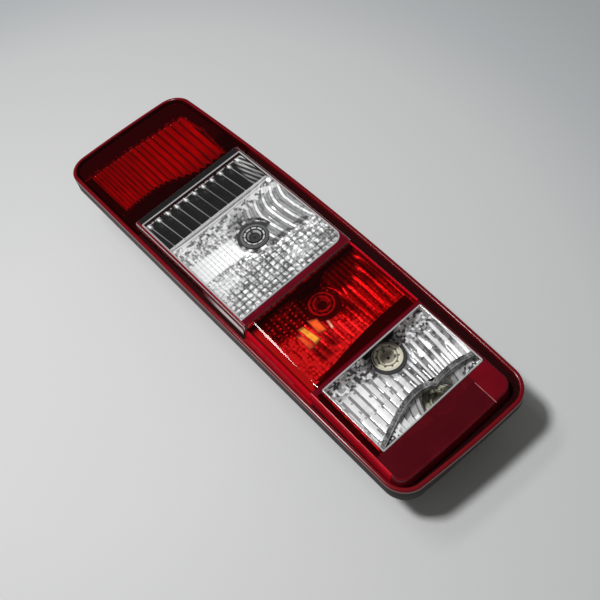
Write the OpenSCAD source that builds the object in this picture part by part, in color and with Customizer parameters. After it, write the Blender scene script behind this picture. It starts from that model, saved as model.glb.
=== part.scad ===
// Rear lamp cluster of a van: a red multi-chamber lens with two clear windows
// over metallised reflectors, on a black housing with a plug-in bulb carrier.
// X runs along the lamp, Y across it, Z out of the lens. It lies on its back,
// with the mounting bosses on z = 0. Heights called h are above the lens rim.

/* [Lens outline] */
// Length of the lens over its rim, on the centre line
lamp_len = 452.5; // [448:0.5:460]
// Width of the lens at its middle
lamp_w = 138; // [137:0.5:144]
// Corner radius of the lens outline
corner_r = 21; // [18:1:24]
// How far each long side bows out
side_bow = 2.6; // [2:0.1:4]
// How far the far end and the near end bow out
far_bow = 2; // [1.6:0.1:3]
near_bow = 2.4; // [2:0.1:3]
// How far the right side runs ahead of the centre line, at each end
far_skew = 1.9; // [0:0.1:2.5]
near_skew = 3.4; // [0:0.1:3.6]
// Rise of the lens crown from its ends to its middle
crown_rise = 12.6; // [10:0.2:13]
// Height of the rim over the mounting face, at mid length
rim_z = 73; // [71:1:80]

/* [Lens walls] */
// Wall thickness of the lens mouldings
lens_t = 2.5; // [2:0.1:3]
// Width of the rim that frames the lens
rim_w = 3.5; // [3:0.1:4]
// Depth of the skirt below the rim
skirt_d = 10; // [9:0.5:12]
// Depth of the side skirt on the outboard side
side_skirt_d = 18; // [15:0.5:24]
// Depth of the groove between the rim and the raised blocks
groove_d = 4.5; // [4:0.1:5]
// Gap that parts fitted into each other keep
fit = 0.15; // [0.1:0.05:0.3]

/* [Raised blocks] */
// Space between the lens outline and the left foot of the raised blocks
block_gap_l = 6; // [5.6:0.1:6.5]
// Space between the lens outline and the right foot of the raised blocks
block_gap_r = 12.7; // [12:0.1:13.2]
// How far the side walls of the blocks lean in
block_lean = 2.5; // [1.5:0.1:3]
// Far end of the upper block
upper_x0 = -109; // [-110:0.5:-108]
// Joint between the upper and the middle block
middle_x0 = 41.5; // [41:0.5:42]
// Joint between the middle and the lower block
lower_x0 = 118; // [117.5:0.5:118.5]
// Space between the lower block and the near end of the lens
near_gap = 7.4; // [7.2:0.1:8]
// How far the lower block's near end runs ahead on its right
block_skew = 1.2; // [0:0.1:2]
// Height of the upper block over the rim
upper_h = 11; // [10:0.5:13]
// Height of the middle block over the rim
middle_h = 8; // [7:0.5:9.5]
// Height of the lower block over the rim
lower_h = 7; // [6:0.5:8]
// Shoulder radius of the upper and lower blocks
shoulder_r = 1.5; // [1:0.1:2]
// Shoulder radius of the middle block on the outboard side
middle_r = 12; // [9:0.5:13]
// Plan radius of the lower block's near corners
block_corner_r = 12; // [8:0.5:14]
// Width of the notch between the upper and the middle block
notch_w = 4; // [3:0.1:4.5]

/* [Clear windows] */
// Far edge of the upper window
upper_win_x0 = -102; // [-102.5:0.5:-101.5]
// Near edge of the upper window
upper_win_x1 = 35.9; // [35.5:0.1:36.3]
// Space between the upper window and the left foot of its block
upper_win_gap_l = 4.4; // [4.2:0.1:5]
// Space between the upper window and the right foot of its block
upper_win_gap_r = 4.3; // [4.1:0.1:5.3]
// Radius of the upper window's near right corner
upper_win_corner = 9; // [6:0.5:12]
// Far edge of the lower window
lower_win_x0 = 122; // [121.5:0.5:122.5]
// Space between the lower window and the near end of its block
lower_win_gap_x = 30.45; // [29:0.05:32]
// Space between the lower window and the left foot of its block
lower_win_gap_l = 10.6; // [9:0.1:11.5]
// Space between the lower window and the right foot of its block
lower_win_gap_r = 4.3; // [3.8:0.1:5.3]
// How far the windows stand proud of the red lens
window_proud = 0.8; // [0.4:0.1:1.2]
// Width of the raised border round each window
border_w = 1.6; // [1.2:0.1:2.2]
// Pitch of the flutes moulded under the windows
optic_pitch = 7; // [6:0.5:9]

/* [Housing] */
// Wall thickness of the housing
housing_t = 2.5; // [2:0.1:3]
// Thickness of the flange that the lens is welded to
flange_t = 3; // [2.5:0.1:3.5]
// Space between the housing body and the left foot of the blocks
body_gap_l = 6.5; // [6.2:0.1:7]
// Space between the housing body and the right foot of the blocks
body_gap_r = 3.8; // [3.3:0.1:4.3]
// Space between the housing body and the far end of the lens
body_gap_far = 17.25; // [16.25:0.5:18.25]
// Space between the housing body and the near end of the lens
body_gap_near = 22.25; // [21.25:0.5:22.75]
// Space between the deeper lamp pocket and the near end of the lens
pocket_gap = 14.25; // [13.25:0.5:15.25]
// Left side of the deeper lamp pocket
pocket_y0 = 12; // [8:0.5:16]
// Height of the housing's back over the mounting face
back_z = 12; // [11:0.5:14]
// Thickness of the walls between the chambers
bulkhead_t = 3; // [2.5:0.1:4]

/* [Chambers] */
// Wall between the tail chamber and the black strip
wall_1 = -105; // [-105.5:0.5:-104.5]
// Wall between the black strip and the upper chamber
wall_2 = -63.3; // [-64:0.1:-63]
// Wall between the upper and the middle chamber
wall_3 = 37; // [36.5:0.5:37]
// Wall between the middle and the lower chamber
wall_4 = 108.5; // [108:0.5:108.5]
// Wall between the lower and the fog chamber
wall_5 = 161; // [160.5:0.5:161]
// Thickness of the reflector mouldings
reflector_t = 2.2; // [1.8:0.1:2.5]
// Depth of the bowls below the rim
bowl_d = 24; // [22:0.5:26]
// Rise of a bowl towards its ends
bowl_end_rise = 12; // [9:0.5:14]
// Rise of a bowl towards its sides
bowl_side_rise = 14; // [11:0.5:16]
// Pitch of the flutes in the bowls
flute_pitch = 7; // [6:0.5:9]
// Depth of the flutes
flute_d = 1.1; // [0.8:0.1:1.4]
// Pitch of the ribs in the tail reflector
tail_pitch = 6.6; // [6:0.2:8]
// Depth of the tail reflector below the rim at its near end
tail_d = 16; // [13:0.5:19]
// Pitch of the ribs on the black strip
strip_pitch = 10.4; // [9:0.2:12]

/* [Bulb holders] */
// Places of the four holders along the lamp
holder_x = [-37, 56.2, 127.8, 180.6];
// Places of the four holders across the lamp
holder_y = [9.5, 4.5, 9, 12.9];
// Depth of each holder's seat below the rim
holder_d = [18, 18, 17, 20];
// Outer diameter of a holder
holder_od = 25; // [23:0.5:26]
// Bore for the lamp cap
holder_bore = 15.8; // [15.5:0.1:16.5]
// Depth of the bore
holder_bore_d = 17; // [14:0.5:20]
// Outer diameter of the rubber seal on each seat
seal_od = 31; // [29:0.5:33]
// Thickness of the rubber seal
seal_t = 2; // [1.5:0.1:2.5]
// Diameter of the flat seat round each holder
seat_d = 37; // [35:0.5:39]

/* [Bulb carrier] */
// Far end of the carrier plate
carrier_x0 = -64; // [-65:0.5:-63]
// Near end of the carrier plate
carrier_x1 = 202; // [201.5:0.5:202]
// Left edge of the carrier plate
carrier_y0 = -17; // [-19:0.5:-16]
// Space between the carrier plate and the right mounting bosses
carrier_gap = 0.5; // [0.5:0.1:1.5]
// Thickness of the carrier plate
carrier_t = 2.5; // [2:0.1:3]
// Thickness of the gasket under the carrier
gasket_t = 1; // [0.8:0.1:1.2]
// How far the carrier overlaps the opening behind it
carrier_lap = 6; // [5.5:0.5:7]
// Length of the connector shell
connector_len = 34; // [30:0.5:36]
// Width of the connector shell
connector_w = 20; // [18:0.5:22]
// Middle of the connector along the lamp
connector_x = 90.2; // [90.1:0.1:90.6]
// Number of pins in the connector
connector_pins = 6; // [4:1:7]

/* [Mounting] */
// Distance of the mounting bosses from mid length
boss_x = 160; // [155:0.5:163]
// Space between the left mounting bosses' middles and the body's side
boss_gap_l = 18.5; // [17.5:0.5:19.5]
// Space between the right mounting bosses' middles and the body's side
boss_gap_r = 9; // [8.5:0.1:9.5]
// Diameter of a mounting boss
boss_d = 14; // [12:0.5:15]
// Outer diameter of the brass insert
insert_d = 9; // [8.5:0.1:9.5]
// Thread core diameter of the brass insert
insert_bore = 5; // [4.5:0.1:5.5]
// Length of the brass insert
insert_len = 12; // [10:0.5:14]
// Thickness of the foam seal behind the rim
foam_t = 3.5; // [3:0.1:4]
// Width of the foam seal
foam_w = 4.8; // [4:0.1:5]

/* [Hidden] */

half_len = lamp_len / 2;
crown_r = (half_len * half_len + crown_rise * crown_rise) / (2 * crown_rise);
bow_r = (half_len * half_len + side_bow * side_bow) / (2 * side_bow);
block_x1 = half_len - near_gap;
block_l = lamp_w / 2 - block_gap_l;      // left foot of the blocks
block_r = lamp_w / 2 - block_gap_r;
upper_win_l = block_l - upper_win_gap_l;
upper_win_r = block_r - upper_win_gap_r;
lower_win_l = block_l - lower_win_gap_l;
lower_win_r = block_r - lower_win_gap_r;
lower_win_x1 = block_x1 - lower_win_gap_x;
body_l = block_l - body_gap_l;           // left outer face of the housing body
body_r = block_r - body_gap_r;
body_x0 = body_gap_far - half_len;
body_x1 = half_len - body_gap_near;
pocket_x1 = half_len - pocket_gap;
boss_l = body_l - boss_gap_l;
boss_r = body_r - boss_gap_r;
carrier_y1 = boss_r - boss_d / 2 - carrier_gap;
end_bow = [far_bow, near_bow, near_bow];     // far end, near end, lower block
end_skew = [far_skew, near_skew, block_skew];
end_side = [-1, 1, 1];
end_x = [half_len + 0.75, half_len, block_x1];      // centres the box on the origin
turn = 1.5;       // a strip runs this many degrees past where an arc joins it
big = 2 * lamp_len;
reach = half_len + corner_r / 2;     // crowned shapes run this far from mid length
fine = 1440;      // sides of the very large circles
cut = 1;          // how far a cutter runs past what it cuts
weld_d = groove_d + lens_t;          // depth of the face the lens is welded on
seat_h = reflector_t - weld_d;       // top of the reflector flanges
bezel_t = weld_d - reflector_t - lens_t - fit;
foot_d = weld_d + 2 * cut;           // depth where the leaning walls are measured
edge_gap = fit + (foot_d + seat_h) * block_lean / (lower_h + foot_d);
edge_l = block_l - lens_t - edge_gap;    // left edge of the parts inside the blocks
edge_r = block_r - lens_t - edge_gap;
frame_half = lamp_w / 2 - side_bow - rim_w - lens_t - 2 * fit;   // flat sides inside
flange_half = lamp_w / 2 - side_bow - rim_w - fit;
inner_l = body_l - housing_t;
inner_r = body_r - housing_t;
body_corner = 10;
far_x0 = body_x0 + housing_t + 3;    // far edge of the reflector flange
tail_x0 = body_x0 + 12;              // far edge of the tail panel
tail_l = frame_half - 2.8;           // left edge of the tail panel
tail_r = body_r - 6.5;               // right edge of the tail panel
tail_view = [[tail_x0, -tail_l], [tail_x0 + 11, tail_r],
    [upper_x0 - 18, tail_r], [upper_x0 - 32, -tail_l]];
tail_fold = 7;                       // width of the fold at its left side
bowl_l = inner_l - fit;
bowl_r = inner_r - fit;
gull_x = [166.5, 166.3];             // crests of the two wings
gull_y = [4.5, 26];
gull_r = [83.5, 85];
gull_t = 3;
gull_mid_y = 14.5;                   // where the two wings meet
gull_top = 3;
tower_r = holder_od / 2;
plate_top = back_z - gasket_t;
opening_x0 = carrier_x0 + carrier_lap;
opening_x1 = carrier_x1 - carrier_lap;
opening_y0 = carrier_y0 + carrier_lap;
opening_y1 = carrier_y1 - carrier_lap;
shell_z0 = 2;                        // mouth of the connector
shell_z1 = 21;                       // closed end of the connector
shell_t = 1.8;
connector_y = (opening_y0 + opening_y1) / 2;
screw_inset = carrier_lap / 2;
screw_d = 3;
screw_head_d = 5.4;
screw_head_t = 2.2;
screw_len = 9;
screw_shift = 55;                    // middle screws, from the carrier's middle
post_d = 7;
carrier_rib_pitch = 40;
carrier_rib_inset = 30;              // first and last rib, from the opening's ends
carrier_rib_t = 1.6;
breather_x = [-85, -85];
breather_y = [-30, 30];
breather_d = 15;
breather_t = 5;
breather_vent_d = 1.6;
optic_d = 1;
land = 0.25;                         // half the flat between two flutes
joint_lap = 0.5;                     // overlap of neighbouring blocks
shoulder_steps = 6;                  // facets on a shoulder

// height of the crowned rim at a place along the lamp
function rim_at(x) = rim_z - crown_r + sqrt(crown_r * crown_r - x * x);

// everything between the floor and a surface h above the rim
module under(h) {
    translate([0, big / 2, 0])
        rotate([90, 0, 0])
            linear_extrude(big)
                intersection() {
                    translate([0, rim_z - crown_r])
                        circle(r = crown_r + h, $fn = fine);
                    translate([-reach, 0])
                        square([2 * reach, rim_z + 2 * upper_h]);
                }
}

// a shell that follows the crown from h0 to h1
module layer(h0, h1) {
    difference() {
        under(h1);
        under(h0);
    }
}

// the arc of an end: its radius, and its centre
function end_r(i) = (pow(lamp_w / 2, 2) + pow(end_bow[i], 2)) / (2 * end_bow[i]);
function end_cy(i) = end_side[i] * end_r(i) * end_skew[i] / (lamp_w / 2);
function end_cx(i) = end_side[i] * (end_x[i] - sqrt(pow(end_r(i), 2) - pow(end_cy(i), 2)));

// centre of a corner arc that meets the end arc and a line or the side arc
function corner_x(i, r, y) =
    end_cx(i) + end_side[i] * sqrt(pow(end_r(i) - r, 2) - pow(y - end_cy(i), 2));
function corner_y(x) = sqrt(pow(bow_r - corner_r, 2) - x * x) - bow_r + lamp_w / 2;
function corner_at(i, side) =
    let (x0 = end_side[i] * (half_len - corner_r))
    let (x1 = corner_x(i, corner_r, side * corner_y(x0)))
    let (x2 = corner_x(i, corner_r, side * corner_y(x1)))
    [x2, side * corner_y(x2)];

// a point outside the end, on the way out through a corner's centre
function end_edge(i, side, at) =
    let (a = atan2(at[1] - end_cy(i), at[0] - end_cx(i)) + side * end_side[i] * turn)
    at + 2 * corner_r * [cos(a), sin(a)];

// outline of the lens, drawn in by a distance
module outline(inset) {
    c = [for (i = [0, 1]) [corner_at(i, -1), corner_at(i, 1)]];
    out = [0, 2 * corner_r];
    intersection() {
        bow_side(inset, -1);
        bow_side(inset, 1);
        polygon([c[0][0] - out, c[1][0] - out, c[1][0], c[1][1], c[1][1] + out,
            c[0][1] + out, c[0][1], c[0][0]]);
    }
    intersection() {
        bow_end(inset, 0);
        bow_end(inset, 1);
        polygon([c[0][0], end_edge(0, -1, c[0][0]), end_edge(0, 1, c[0][1]), c[0][1],
            c[1][1], end_edge(1, 1, c[1][1]), end_edge(1, -1, c[1][0]), c[1][0]]);
    }
    for (i = [0, 1], k = [0, 1])
        translate(c[i][k])
            rotate(180 * i)
                circle(r = corner_r - inset, $fn = 96);
}

module bow_side(inset, side) {
    translate([0, side * (lamp_w / 2 - bow_r)])
        circle(r = bow_r - inset, $fn = 2 * fine);
}

module bow_end(inset, i) {
    translate([end_cx(i), end_cy(i)])
        circle(r = end_r(i) - inset, $fn = fine);
}

module outline_prism(inset) {
    linear_extrude(rim_z + 2 * upper_h)
        outline(inset);
}

// a section drawn across the lamp as [y, h], carried along the crown
module crowned(x0, x1) {
    half_angle = asin(reach / (crown_r - skirt_d));
    intersection() {
        translate([0, 0, rim_z - crown_r])
            rotate([0, -90, -90])
                rotate([0, 0, -half_angle])
                    rotate_extrude(angle = 2 * half_angle, $fn = fine)
                        translate([crown_r, 0])
                            mirror([1, -1])
                                children();
        translate([x0, -lamp_w, 0])
            cube([x1 - x0, 2 * lamp_w, rim_z + 2 * upper_h]);
    }
}

module box(x0, x1, y0, y1, z0, z1) {
    translate([x0, y0, z0])
        cube([x1 - x0, y1 - y0, z1 - z0]);
}

module rounded_rect(x0, x1, y0, y1, r) {
    translate([x0 + r, y0])
        square([x1 - x0 - 2 * r, y1 - y0]);
    translate([x0, y0 + r])
        square([x1 - x0, y1 - y0 - 2 * r]);
    for (x = [x0 + r, x1 - r], y = [y0 + r, y1 - r])
        translate([x, y])
            circle(r = r, $fn = 64);
}

// Lens

// section of a raised block, its walls leaning in and its shoulders round
module block_section(inset, top, r_left, r_right) {
    base = inset > 0 ? -weld_d - cut : -weld_d + lens_t / 4;
    h = top - inset;
    run = block_lean / (top + foot_d);
    lean = atan(run);
    rl = max(r_left - inset, 0.3);
    rr = max(r_right - inset, 0.3);
    left = -block_l + inset;
    right = block_r - inset;
    cl = [left + run * (h - rl + foot_d) + rl / cos(lean), h - rl];
    cr = [right - run * (h - rr + foot_d) - rr / cos(lean), h - rr];
    polygon([[left + run * (base + foot_d), base],
        for (k = [0 : shoulder_steps])
            cl + rl * shoulder_point(180 - lean, 90, k),
        for (k = [0 : shoulder_steps])
            cr + rr * shoulder_point(90, lean, k),
        [right - run * (base + foot_d), base]]);
}

// a point on a unit arc that turns from one angle to another in equal steps
function shoulder_point(a0, a1, k) =
    let (a = a0 + (a1 - a0) * k / shoulder_steps) [cos(a), sin(a)];

module upper_block(inset) {
    crowned(upper_x0 + inset, middle_x0 - inset)
        block_section(inset, upper_h, shoulder_r, shoulder_r);
}

module middle_block(inset) {
    crowned(middle_x0 + inset - joint_lap, lower_x0 + inset + joint_lap)
        block_section(inset, middle_h, middle_r, shoulder_r);
}

module lower_block(inset) {
    r = block_corner_r - inset;
    wide = inset - joint_lap;
    low = wide - block_l + r;
    high = block_r - wide - r;
    c0 = [corner_x(2, block_corner_r, low), low];
    c1 = [corner_x(2, block_corner_r, high), high];
    intersection() {
        crowned(lower_x0 + inset, half_len)
            block_section(inset, lower_h, shoulder_r, shoulder_r);
        linear_extrude(big) {
            polygon([[lower_x0 - cut, low - r - cut], [c0[0], low - r - cut], c0, c1,
                [c1[0], high + r + cut], [lower_x0 - cut, high + r + cut]]);
            intersection() {
                bow_end(inset, 2);
                polygon([[lower_x0, low], c0, end_edge(2, -1, c0), end_edge(2, 1, c1),
                    c1, [lower_x0, high]]);
            }
            for (c = [c0, c1])
                translate(c)
                    rotate(180)
                        circle(r = r, $fn = 96);
        }
    }
}

module blocks(inset) {
    upper_block(inset);
    middle_block(inset);
    lower_block(inset);
}

module window_opening(x0, x1, left, right, corner, gap) {
    translate([0, 0, back_z])
        linear_extrude(rim_z + upper_h)
            difference() {
                translate([x0 + gap, -left + gap])
                    square([x1 - x0 - 2 * gap, left + right - 2 * gap]);
                translate([x1 - corner, right - corner])
                    difference() {
                        square([corner + cut, corner + cut]);
                        circle(r = corner - gap, $fn = 64);
                    }
            }
}

module upper_opening(gap) {
    window_opening(upper_win_x0, upper_win_x1, upper_win_l, upper_win_r,
        upper_win_corner, gap);
}

module lower_opening(gap) {
    window_opening(lower_win_x0, lower_win_x1, lower_win_l, lower_win_r,
        shoulder_r, gap);
}

// deeper skirt on the outboard side, running out round both corners
module side_skirt() {
    run_out = corner_r;
    intersection() {
        difference() {
            outline_prism(0);
            outline_prism(lens_t);
        }
        layer(-side_skirt_d, -skirt_d);
        rotate([90, 0, 0])
            linear_extrude(lamp_w)
                    rounded_rect(-half_len, half_len,
                        rim_at(half_len) - side_skirt_d, rim_z, run_out / 2);
    }
}

module outer_lens() {
    color([0.72, 0.02, 0.05, 0.85])
        difference() {
            union() {
                // rim and skirt
                intersection() {
                    difference() {
                        outline_prism(0);
                        outline_prism(rim_w);
                    }
                    layer(-skirt_d, 0);
                }
                side_skirt();
                // bottom of the groove, and the blocks that rise from it
                intersection() {
                    outline_prism(rim_w - fit / 2);
                    layer(-weld_d, -groove_d);
                    box(upper_x0, half_len, -lamp_w, lamp_w, 0, big);
                }
                blocks(0);
                // smooth cover over the tail chamber, with its weld rib
                intersection() {
                    outline_prism(rim_w - fit / 2);
                    layer(-lens_t, 0);
                    box(-half_len, upper_x0 + lens_t, -lamp_w, lamp_w, 0, big);
                }
                intersection() {
                    difference() {
                        outline_prism(rim_w - fit / 2);
                        outline_prism(rim_w + lens_t);
                    }
                    layer(-weld_d, -lens_t);
                    box(-half_len, upper_x0 + cut, -lamp_w, lamp_w, 0, big);
                }
                intersection() {
                    outline_prism(rim_w - fit / 2);
                    layer(-weld_d, 0);
                    box(upper_x0 - lens_t / 2, upper_x0 + lens_t / 2,
                        -lamp_w, lamp_w, 0, big);
                }
            }
            blocks(lens_t);
            upper_opening(0);
            lower_opening(0);
            // the way through the end wall of the upper block
            intersection() {
                box(upper_x0 - lens_t, upper_x0 + 2 * lens_t, -edge_l - fit,
                    edge_r + fit, 0, big);
                under(-lens_t);
            }
            // the ways through the walls between the blocks
            intersection() {
                box(middle_x0 - 2 * lens_t, middle_x0 + 2 * lens_t,
                    lens_t - block_l + notch_w, edge_r + fit, 0, big);
                under(seat_h + 2 * fit);
            }
            intersection() {
                box(lower_x0 - cut, lower_x0 + 2 * lens_t,
                    -edge_l - fit, edge_r + fit, 0, big);
                under(seat_h + 2 * fit);
            }
            // the notch between the upper and the middle block
            intersection() {
                box(middle_x0, middle_x0 + notch_w, -lamp_w, lens_t / 2 - block_l,
                    0, big);
                layer(-groove_d, middle_h + cut);
            }
        }
}

// clear plate with a raised border and flutes under it
module window(x0, x1, left, right, top, count) {
    floor_h = top - lens_t;
    difference() {
        crowned(x0, x1)
            translate([-left, floor_h])
                square([left + right, lens_t + window_proud]);
        difference() {
            crowned(x0 + border_w, x1 - border_w)
                translate([border_w - left, top + window_proud / 3])
                    square([left + right - 2 * border_w, lens_t]);
            translate([x1, right, 0])
                cylinder(r = upper_win_corner / 2, h = big, $fn = 64);
        }
        crowned(x0 + border_w, x1 - border_w)
            for (i = [0 : count - 1])
                translate([(right - left) / 2 + (i - (count - 1) / 2) * optic_pitch,
                        floor_h - optic_r() + optic_d])
                    circle(r = optic_r(), $fn = 64);
    }
}

function optic_r() = (pow(optic_pitch / 2, 2) + optic_d * optic_d) / (2 * optic_d);
function optic_count(width) = floor((width - 2 * border_w) / optic_pitch);

module upper_window() {
    color([0.93, 0.94, 0.95, 0.45])
        intersection() {
            window(upper_win_x0 + fit, upper_win_x1 - fit, upper_win_l - fit,
                upper_win_r - fit, upper_h, optic_count(upper_win_l + upper_win_r));
            upper_opening(fit);
        }
}

module lower_window() {
    color([0.93, 0.94, 0.95, 0.45])
        intersection() {
            window(lower_win_x0 + fit, lower_win_x1 - fit, lower_win_l - fit,
                lower_win_r - fit, lower_h, optic_count(lower_win_l + lower_win_r));
            lower_opening(fit);
        }
}

// Tail chamber at the far end

// black frame under the smooth cover
module far_bezel() {
    color([0.08, 0.02, 0.025])
        difference() {
            intersection() {
                outline_prism(rim_w + lens_t + fit);
                layer(seat_h, seat_h + bezel_t);
                box(-reach, upper_x0 - lens_t, -frame_half, frame_half, 0, big);
            }
            linear_extrude(big)
                polygon(tail_view);
        }
}

// space over the ribbed panel, which falls away from the far end
module tail_space(drop) {
    fall = atan((tail_d - weld_d) / (wall_1 - tail_x0));
    scallop_r = (pow(tail_pitch / 2 - land, 2) + flute_d * flute_d) / (2 * flute_d);
    count = floor((bowl_l + tail_r - tail_fold) / tail_pitch);
    translate([tail_x0, 0, rim_at(tail_x0) + seat_h - drop])
        rotate([0, fall, 0])
            rotate([90, 0, 90])
                linear_extrude(lamp_len / 4) {
                    polygon([[-tail_l - drop, tail_d],
                        [-tail_l - drop, 0],
                        [tail_fold - tail_l - drop, -flute_d],
                        [tail_r + drop, -flute_d],
                        [tail_r + drop, tail_d]]);
                    if (drop == 0)
                        for (i = [0 : count - 1])
                            translate([tail_r - (i + 0.5) * tail_pitch,
                                    scallop_r - 2 * flute_d])
                                circle(r = scallop_r, $fn = 64);
                }
}

module far_reflector() {
    color([0.8, 0.08, 0.09])
        difference() {
            union() {
                intersection() {
                    layer(-weld_d, seat_h);
                    outline_prism(rim_w + lens_t + fit);
                    box(far_x0 - 2 * fit, wall_1 - fit, -edge_l, edge_r, 0, big);
                }
                intersection() {
                    tail_space(reflector_t + 2 * flute_d);
                    under(seat_h);
                    box(far_x0 + fit, wall_1 - bulkhead_t / 2 - fit, -bowl_l, bowl_r,
                        0, big);
                }
            }
            intersection() {
                tail_space(0);
                box(tail_x0, wall_1 - bulkhead_t / 2 - fit - reflector_t, -tail_l - cut,
                    tail_r + cut, 0, big);
            }
        }
}

// black ribbed box under the far part of the upper window
module strip_plate() {
    top = upper_h - lens_t - 1;
    rib_r = 0.8;
    count = floor((edge_l + edge_r) / strip_pitch);
    color([0.05, 0.05, 0.06])
        difference() {
            union() {
                crowned(upper_win_x0, wall_2)
                    translate([-upper_win_l, -weld_d])
                        square([upper_win_l + upper_win_r, top + weld_d]);
                crowned(upper_win_x0 + reflector_t, wall_2)
                    for (i = [0 : count - 1])
                        translate([(upper_win_r - upper_win_l) / 2
                                + (i - (count - 1) / 2) * strip_pitch, top])
                            circle(r = rib_r, $fn = 32);
            }
            crowned(upper_win_x0 + reflector_t, wall_2 - reflector_t)
                translate([reflector_t - upper_win_l, -weld_d - cut])
                    square([upper_win_l + upper_win_r - 2 * reflector_t,
                        top + weld_d + cut - reflector_t]);
        }
}

// clear bar between the black strip and the upper chamber
module window_bar() {
    top = upper_h - lens_t - 1;
    color([0.85, 0.86, 0.88, 0.6])
        crowned(wall_2 + fit, wall_2 + fit + 4)
            difference() {
                translate([-upper_win_l, seat_h])
                    square([upper_win_l + upper_win_r, top - seat_h]);
                translate([-upper_win_l + 4, seat_h - cut])
                    square([upper_win_l + upper_win_r - 8, cut + 4]);
            }
}

// Reflectors

// bowl between two chamber walls, with flutes along it; drop is the distance
// below the reflecting surface
module bowl_space(x0, x1, drop) {
    mid_x = (x0 + x1) / 2;
    mid_y = (bowl_r - bowl_l) / 2;
    half_x = (x1 - x0) / 2;
    half_y = (bowl_l + bowl_r) / 2;
    end_r = (half_x * half_x + bowl_end_rise * bowl_end_rise) / (2 * bowl_end_rise);
    side_r = (half_y * half_y + bowl_side_rise * bowl_side_rise)
        / (2 * bowl_side_rise);
    flute_r = (pow(flute_pitch / 2 - land, 2) + flute_d * flute_d) / (2 * flute_d);
    count = floor(2 * half_y / flute_pitch);
    floor_z = rim_at(mid_x) - bowl_d;
    swing = min(asin(half_x / end_r) + 8, 88);
    translate([mid_x, mid_y, floor_z + end_r])
        rotate([0, 90, -90])
            rotate([0, 0, -swing])
                rotate_extrude(angle = 2 * swing, $fn = 720)
                    intersection() {
                        union() {
                            translate([end_r - side_r, 0])
                                circle(r = side_r + drop, $fn = 720);
                            if (drop == 0)
                                for (i = [0 : count - 1])
                                    bowl_flute((i - (count - 1) / 2) * flute_pitch,
                                        end_r, side_r, flute_r);
                        }
                        translate([end_r / 8, -half_y - drop])
                            square([end_r + bowl_d, 2 * half_y + 2 * drop]);
                    }
}

// one flute, set into the bowl's own curve
module bowl_flute(y, end_r, side_r, flute_r) {
    lean = asin(y / side_r);
    translate([end_r - side_r, 0])
        rotate(lean)
            translate([side_r + flute_d - flute_r, 0])
                circle(r = flute_r, $fn = 64);
}

module holder_hole(i) {
    translate([holder_x[i], holder_y[i], 0])
        cylinder(d = holder_od + 2 * fit + 0.6, h = big, $fn = 96);
}

function seat_z(i) = rim_at(holder_x[i]) - holder_d[i];

// flat seat for a holder, as a post up to the seat height
module holder_seat(i) {
    translate([holder_x[i], holder_y[i], 0])
        cylinder(d = seat_d, h = seat_z(i), $fn = 96);
}

// space over a seat, wherever the bowl rises round it
module seat_recess(i) {
    translate([holder_x[i], holder_y[i], seat_z(i)])
        cylinder(d = seal_od + 4 * fit, h = big, $fn = 96);
}

module bowl_reflector(x0, x1, i) {
    difference() {
        union() {
            intersection() {
                layer(-weld_d, seat_h);
                box(x0 + fit, x1 - fit, -edge_l, edge_r, 0, big);
            }
            intersection() {
                union() {
                    bowl_space(x0, x1, reflector_t + flute_d);
                    translate([0, 0, seat_z(i) - reflector_t - flute_d - bowl_end_rise / 2])
                        intersection() {
                            holder_seat(i);
                            box(x0, x1, -bowl_l, bowl_r, rim_z - 2 * bowl_d, big);
                        }
                }
                under(seat_h);
                box(x0 + bulkhead_t / 2 + fit, x1 - bulkhead_t / 2 - fit,
                    -bowl_l, bowl_r, 0, big);
            }
        }
        difference() {
            intersection() {
                bowl_space(x0, x1, 0);
                box(x0 + bulkhead_t / 2 + reflector_t, x1 - bulkhead_t / 2 - reflector_t,
                    -lamp_w, lamp_w, 0, big);
            }
            holder_seat(i);
        }
        seat_recess(i);
        holder_hole(i);
        // corner beside the notch, where the lens wall stays
        box(middle_x0 - lens_t - fit, middle_x0 + lens_t + fit, -lamp_w,
            lens_t - block_l + notch_w + 2 * fit, 0, big);
    }
}

module upper_reflector() {
    color([0.82, 0.83, 0.85])
        bowl_reflector(wall_2 + fit, wall_3, 0);
}

module middle_reflector() {
    color([0.82, 0.83, 0.85])
        bowl_reflector(wall_3, wall_4, 1);
}

module lower_reflector() {
    color([0.82, 0.83, 0.85])
        bowl_reflector(wall_4, wall_5, 2);
}

// stepped bowl round the fog lamp
module fog_reflector() {
    steps = 5;
    step_w = 4.5;
    step_h = (holder_d[3] + seat_h) / steps;
    x0 = wall_5;
    x1 = pocket_x1 - housing_t;
    z0 = seat_z(3);
    color([0.8, 0.81, 0.82])
        difference() {
            union() {
                intersection() {
                    layer(-weld_d, seat_h);
                    box(x0 + fit, x1 + 1, near_gap - lens_t - fit - frame_half, edge_r,
                        0, big);
                    outline_prism(rim_w + near_gap + fit);
                }
                intersection() {
                    translate([holder_x[3], holder_y[3], z0 - reflector_t])
                        cylinder(r = seat_d / 2 + steps * step_w + reflector_t, h = big,
                            $fn = 96);
                    under(seat_h);
                    box(x0 + bulkhead_t / 2 + fit, body_x1 - housing_t - fit,
                        -bowl_l, bowl_r, 0, big);
                }
            }
            for (k = [0 : steps - 1])
                translate([holder_x[3], holder_y[3], z0 + k * step_h])
                    intersection() {
                        cylinder(r = seat_d / 2 + k * step_w, h = big, $fn = 96);
                        box(x0 + bulkhead_t / 2 + fit + reflector_t - holder_x[3],
                            body_x1 - housing_t - fit - reflector_t - holder_x[3],
                            -bowl_l - holder_y[3] + reflector_t,
                            bowl_r - holder_y[3] - reflector_t, 0, big);
                    }
            holder_hole(3);
        }
}

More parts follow.
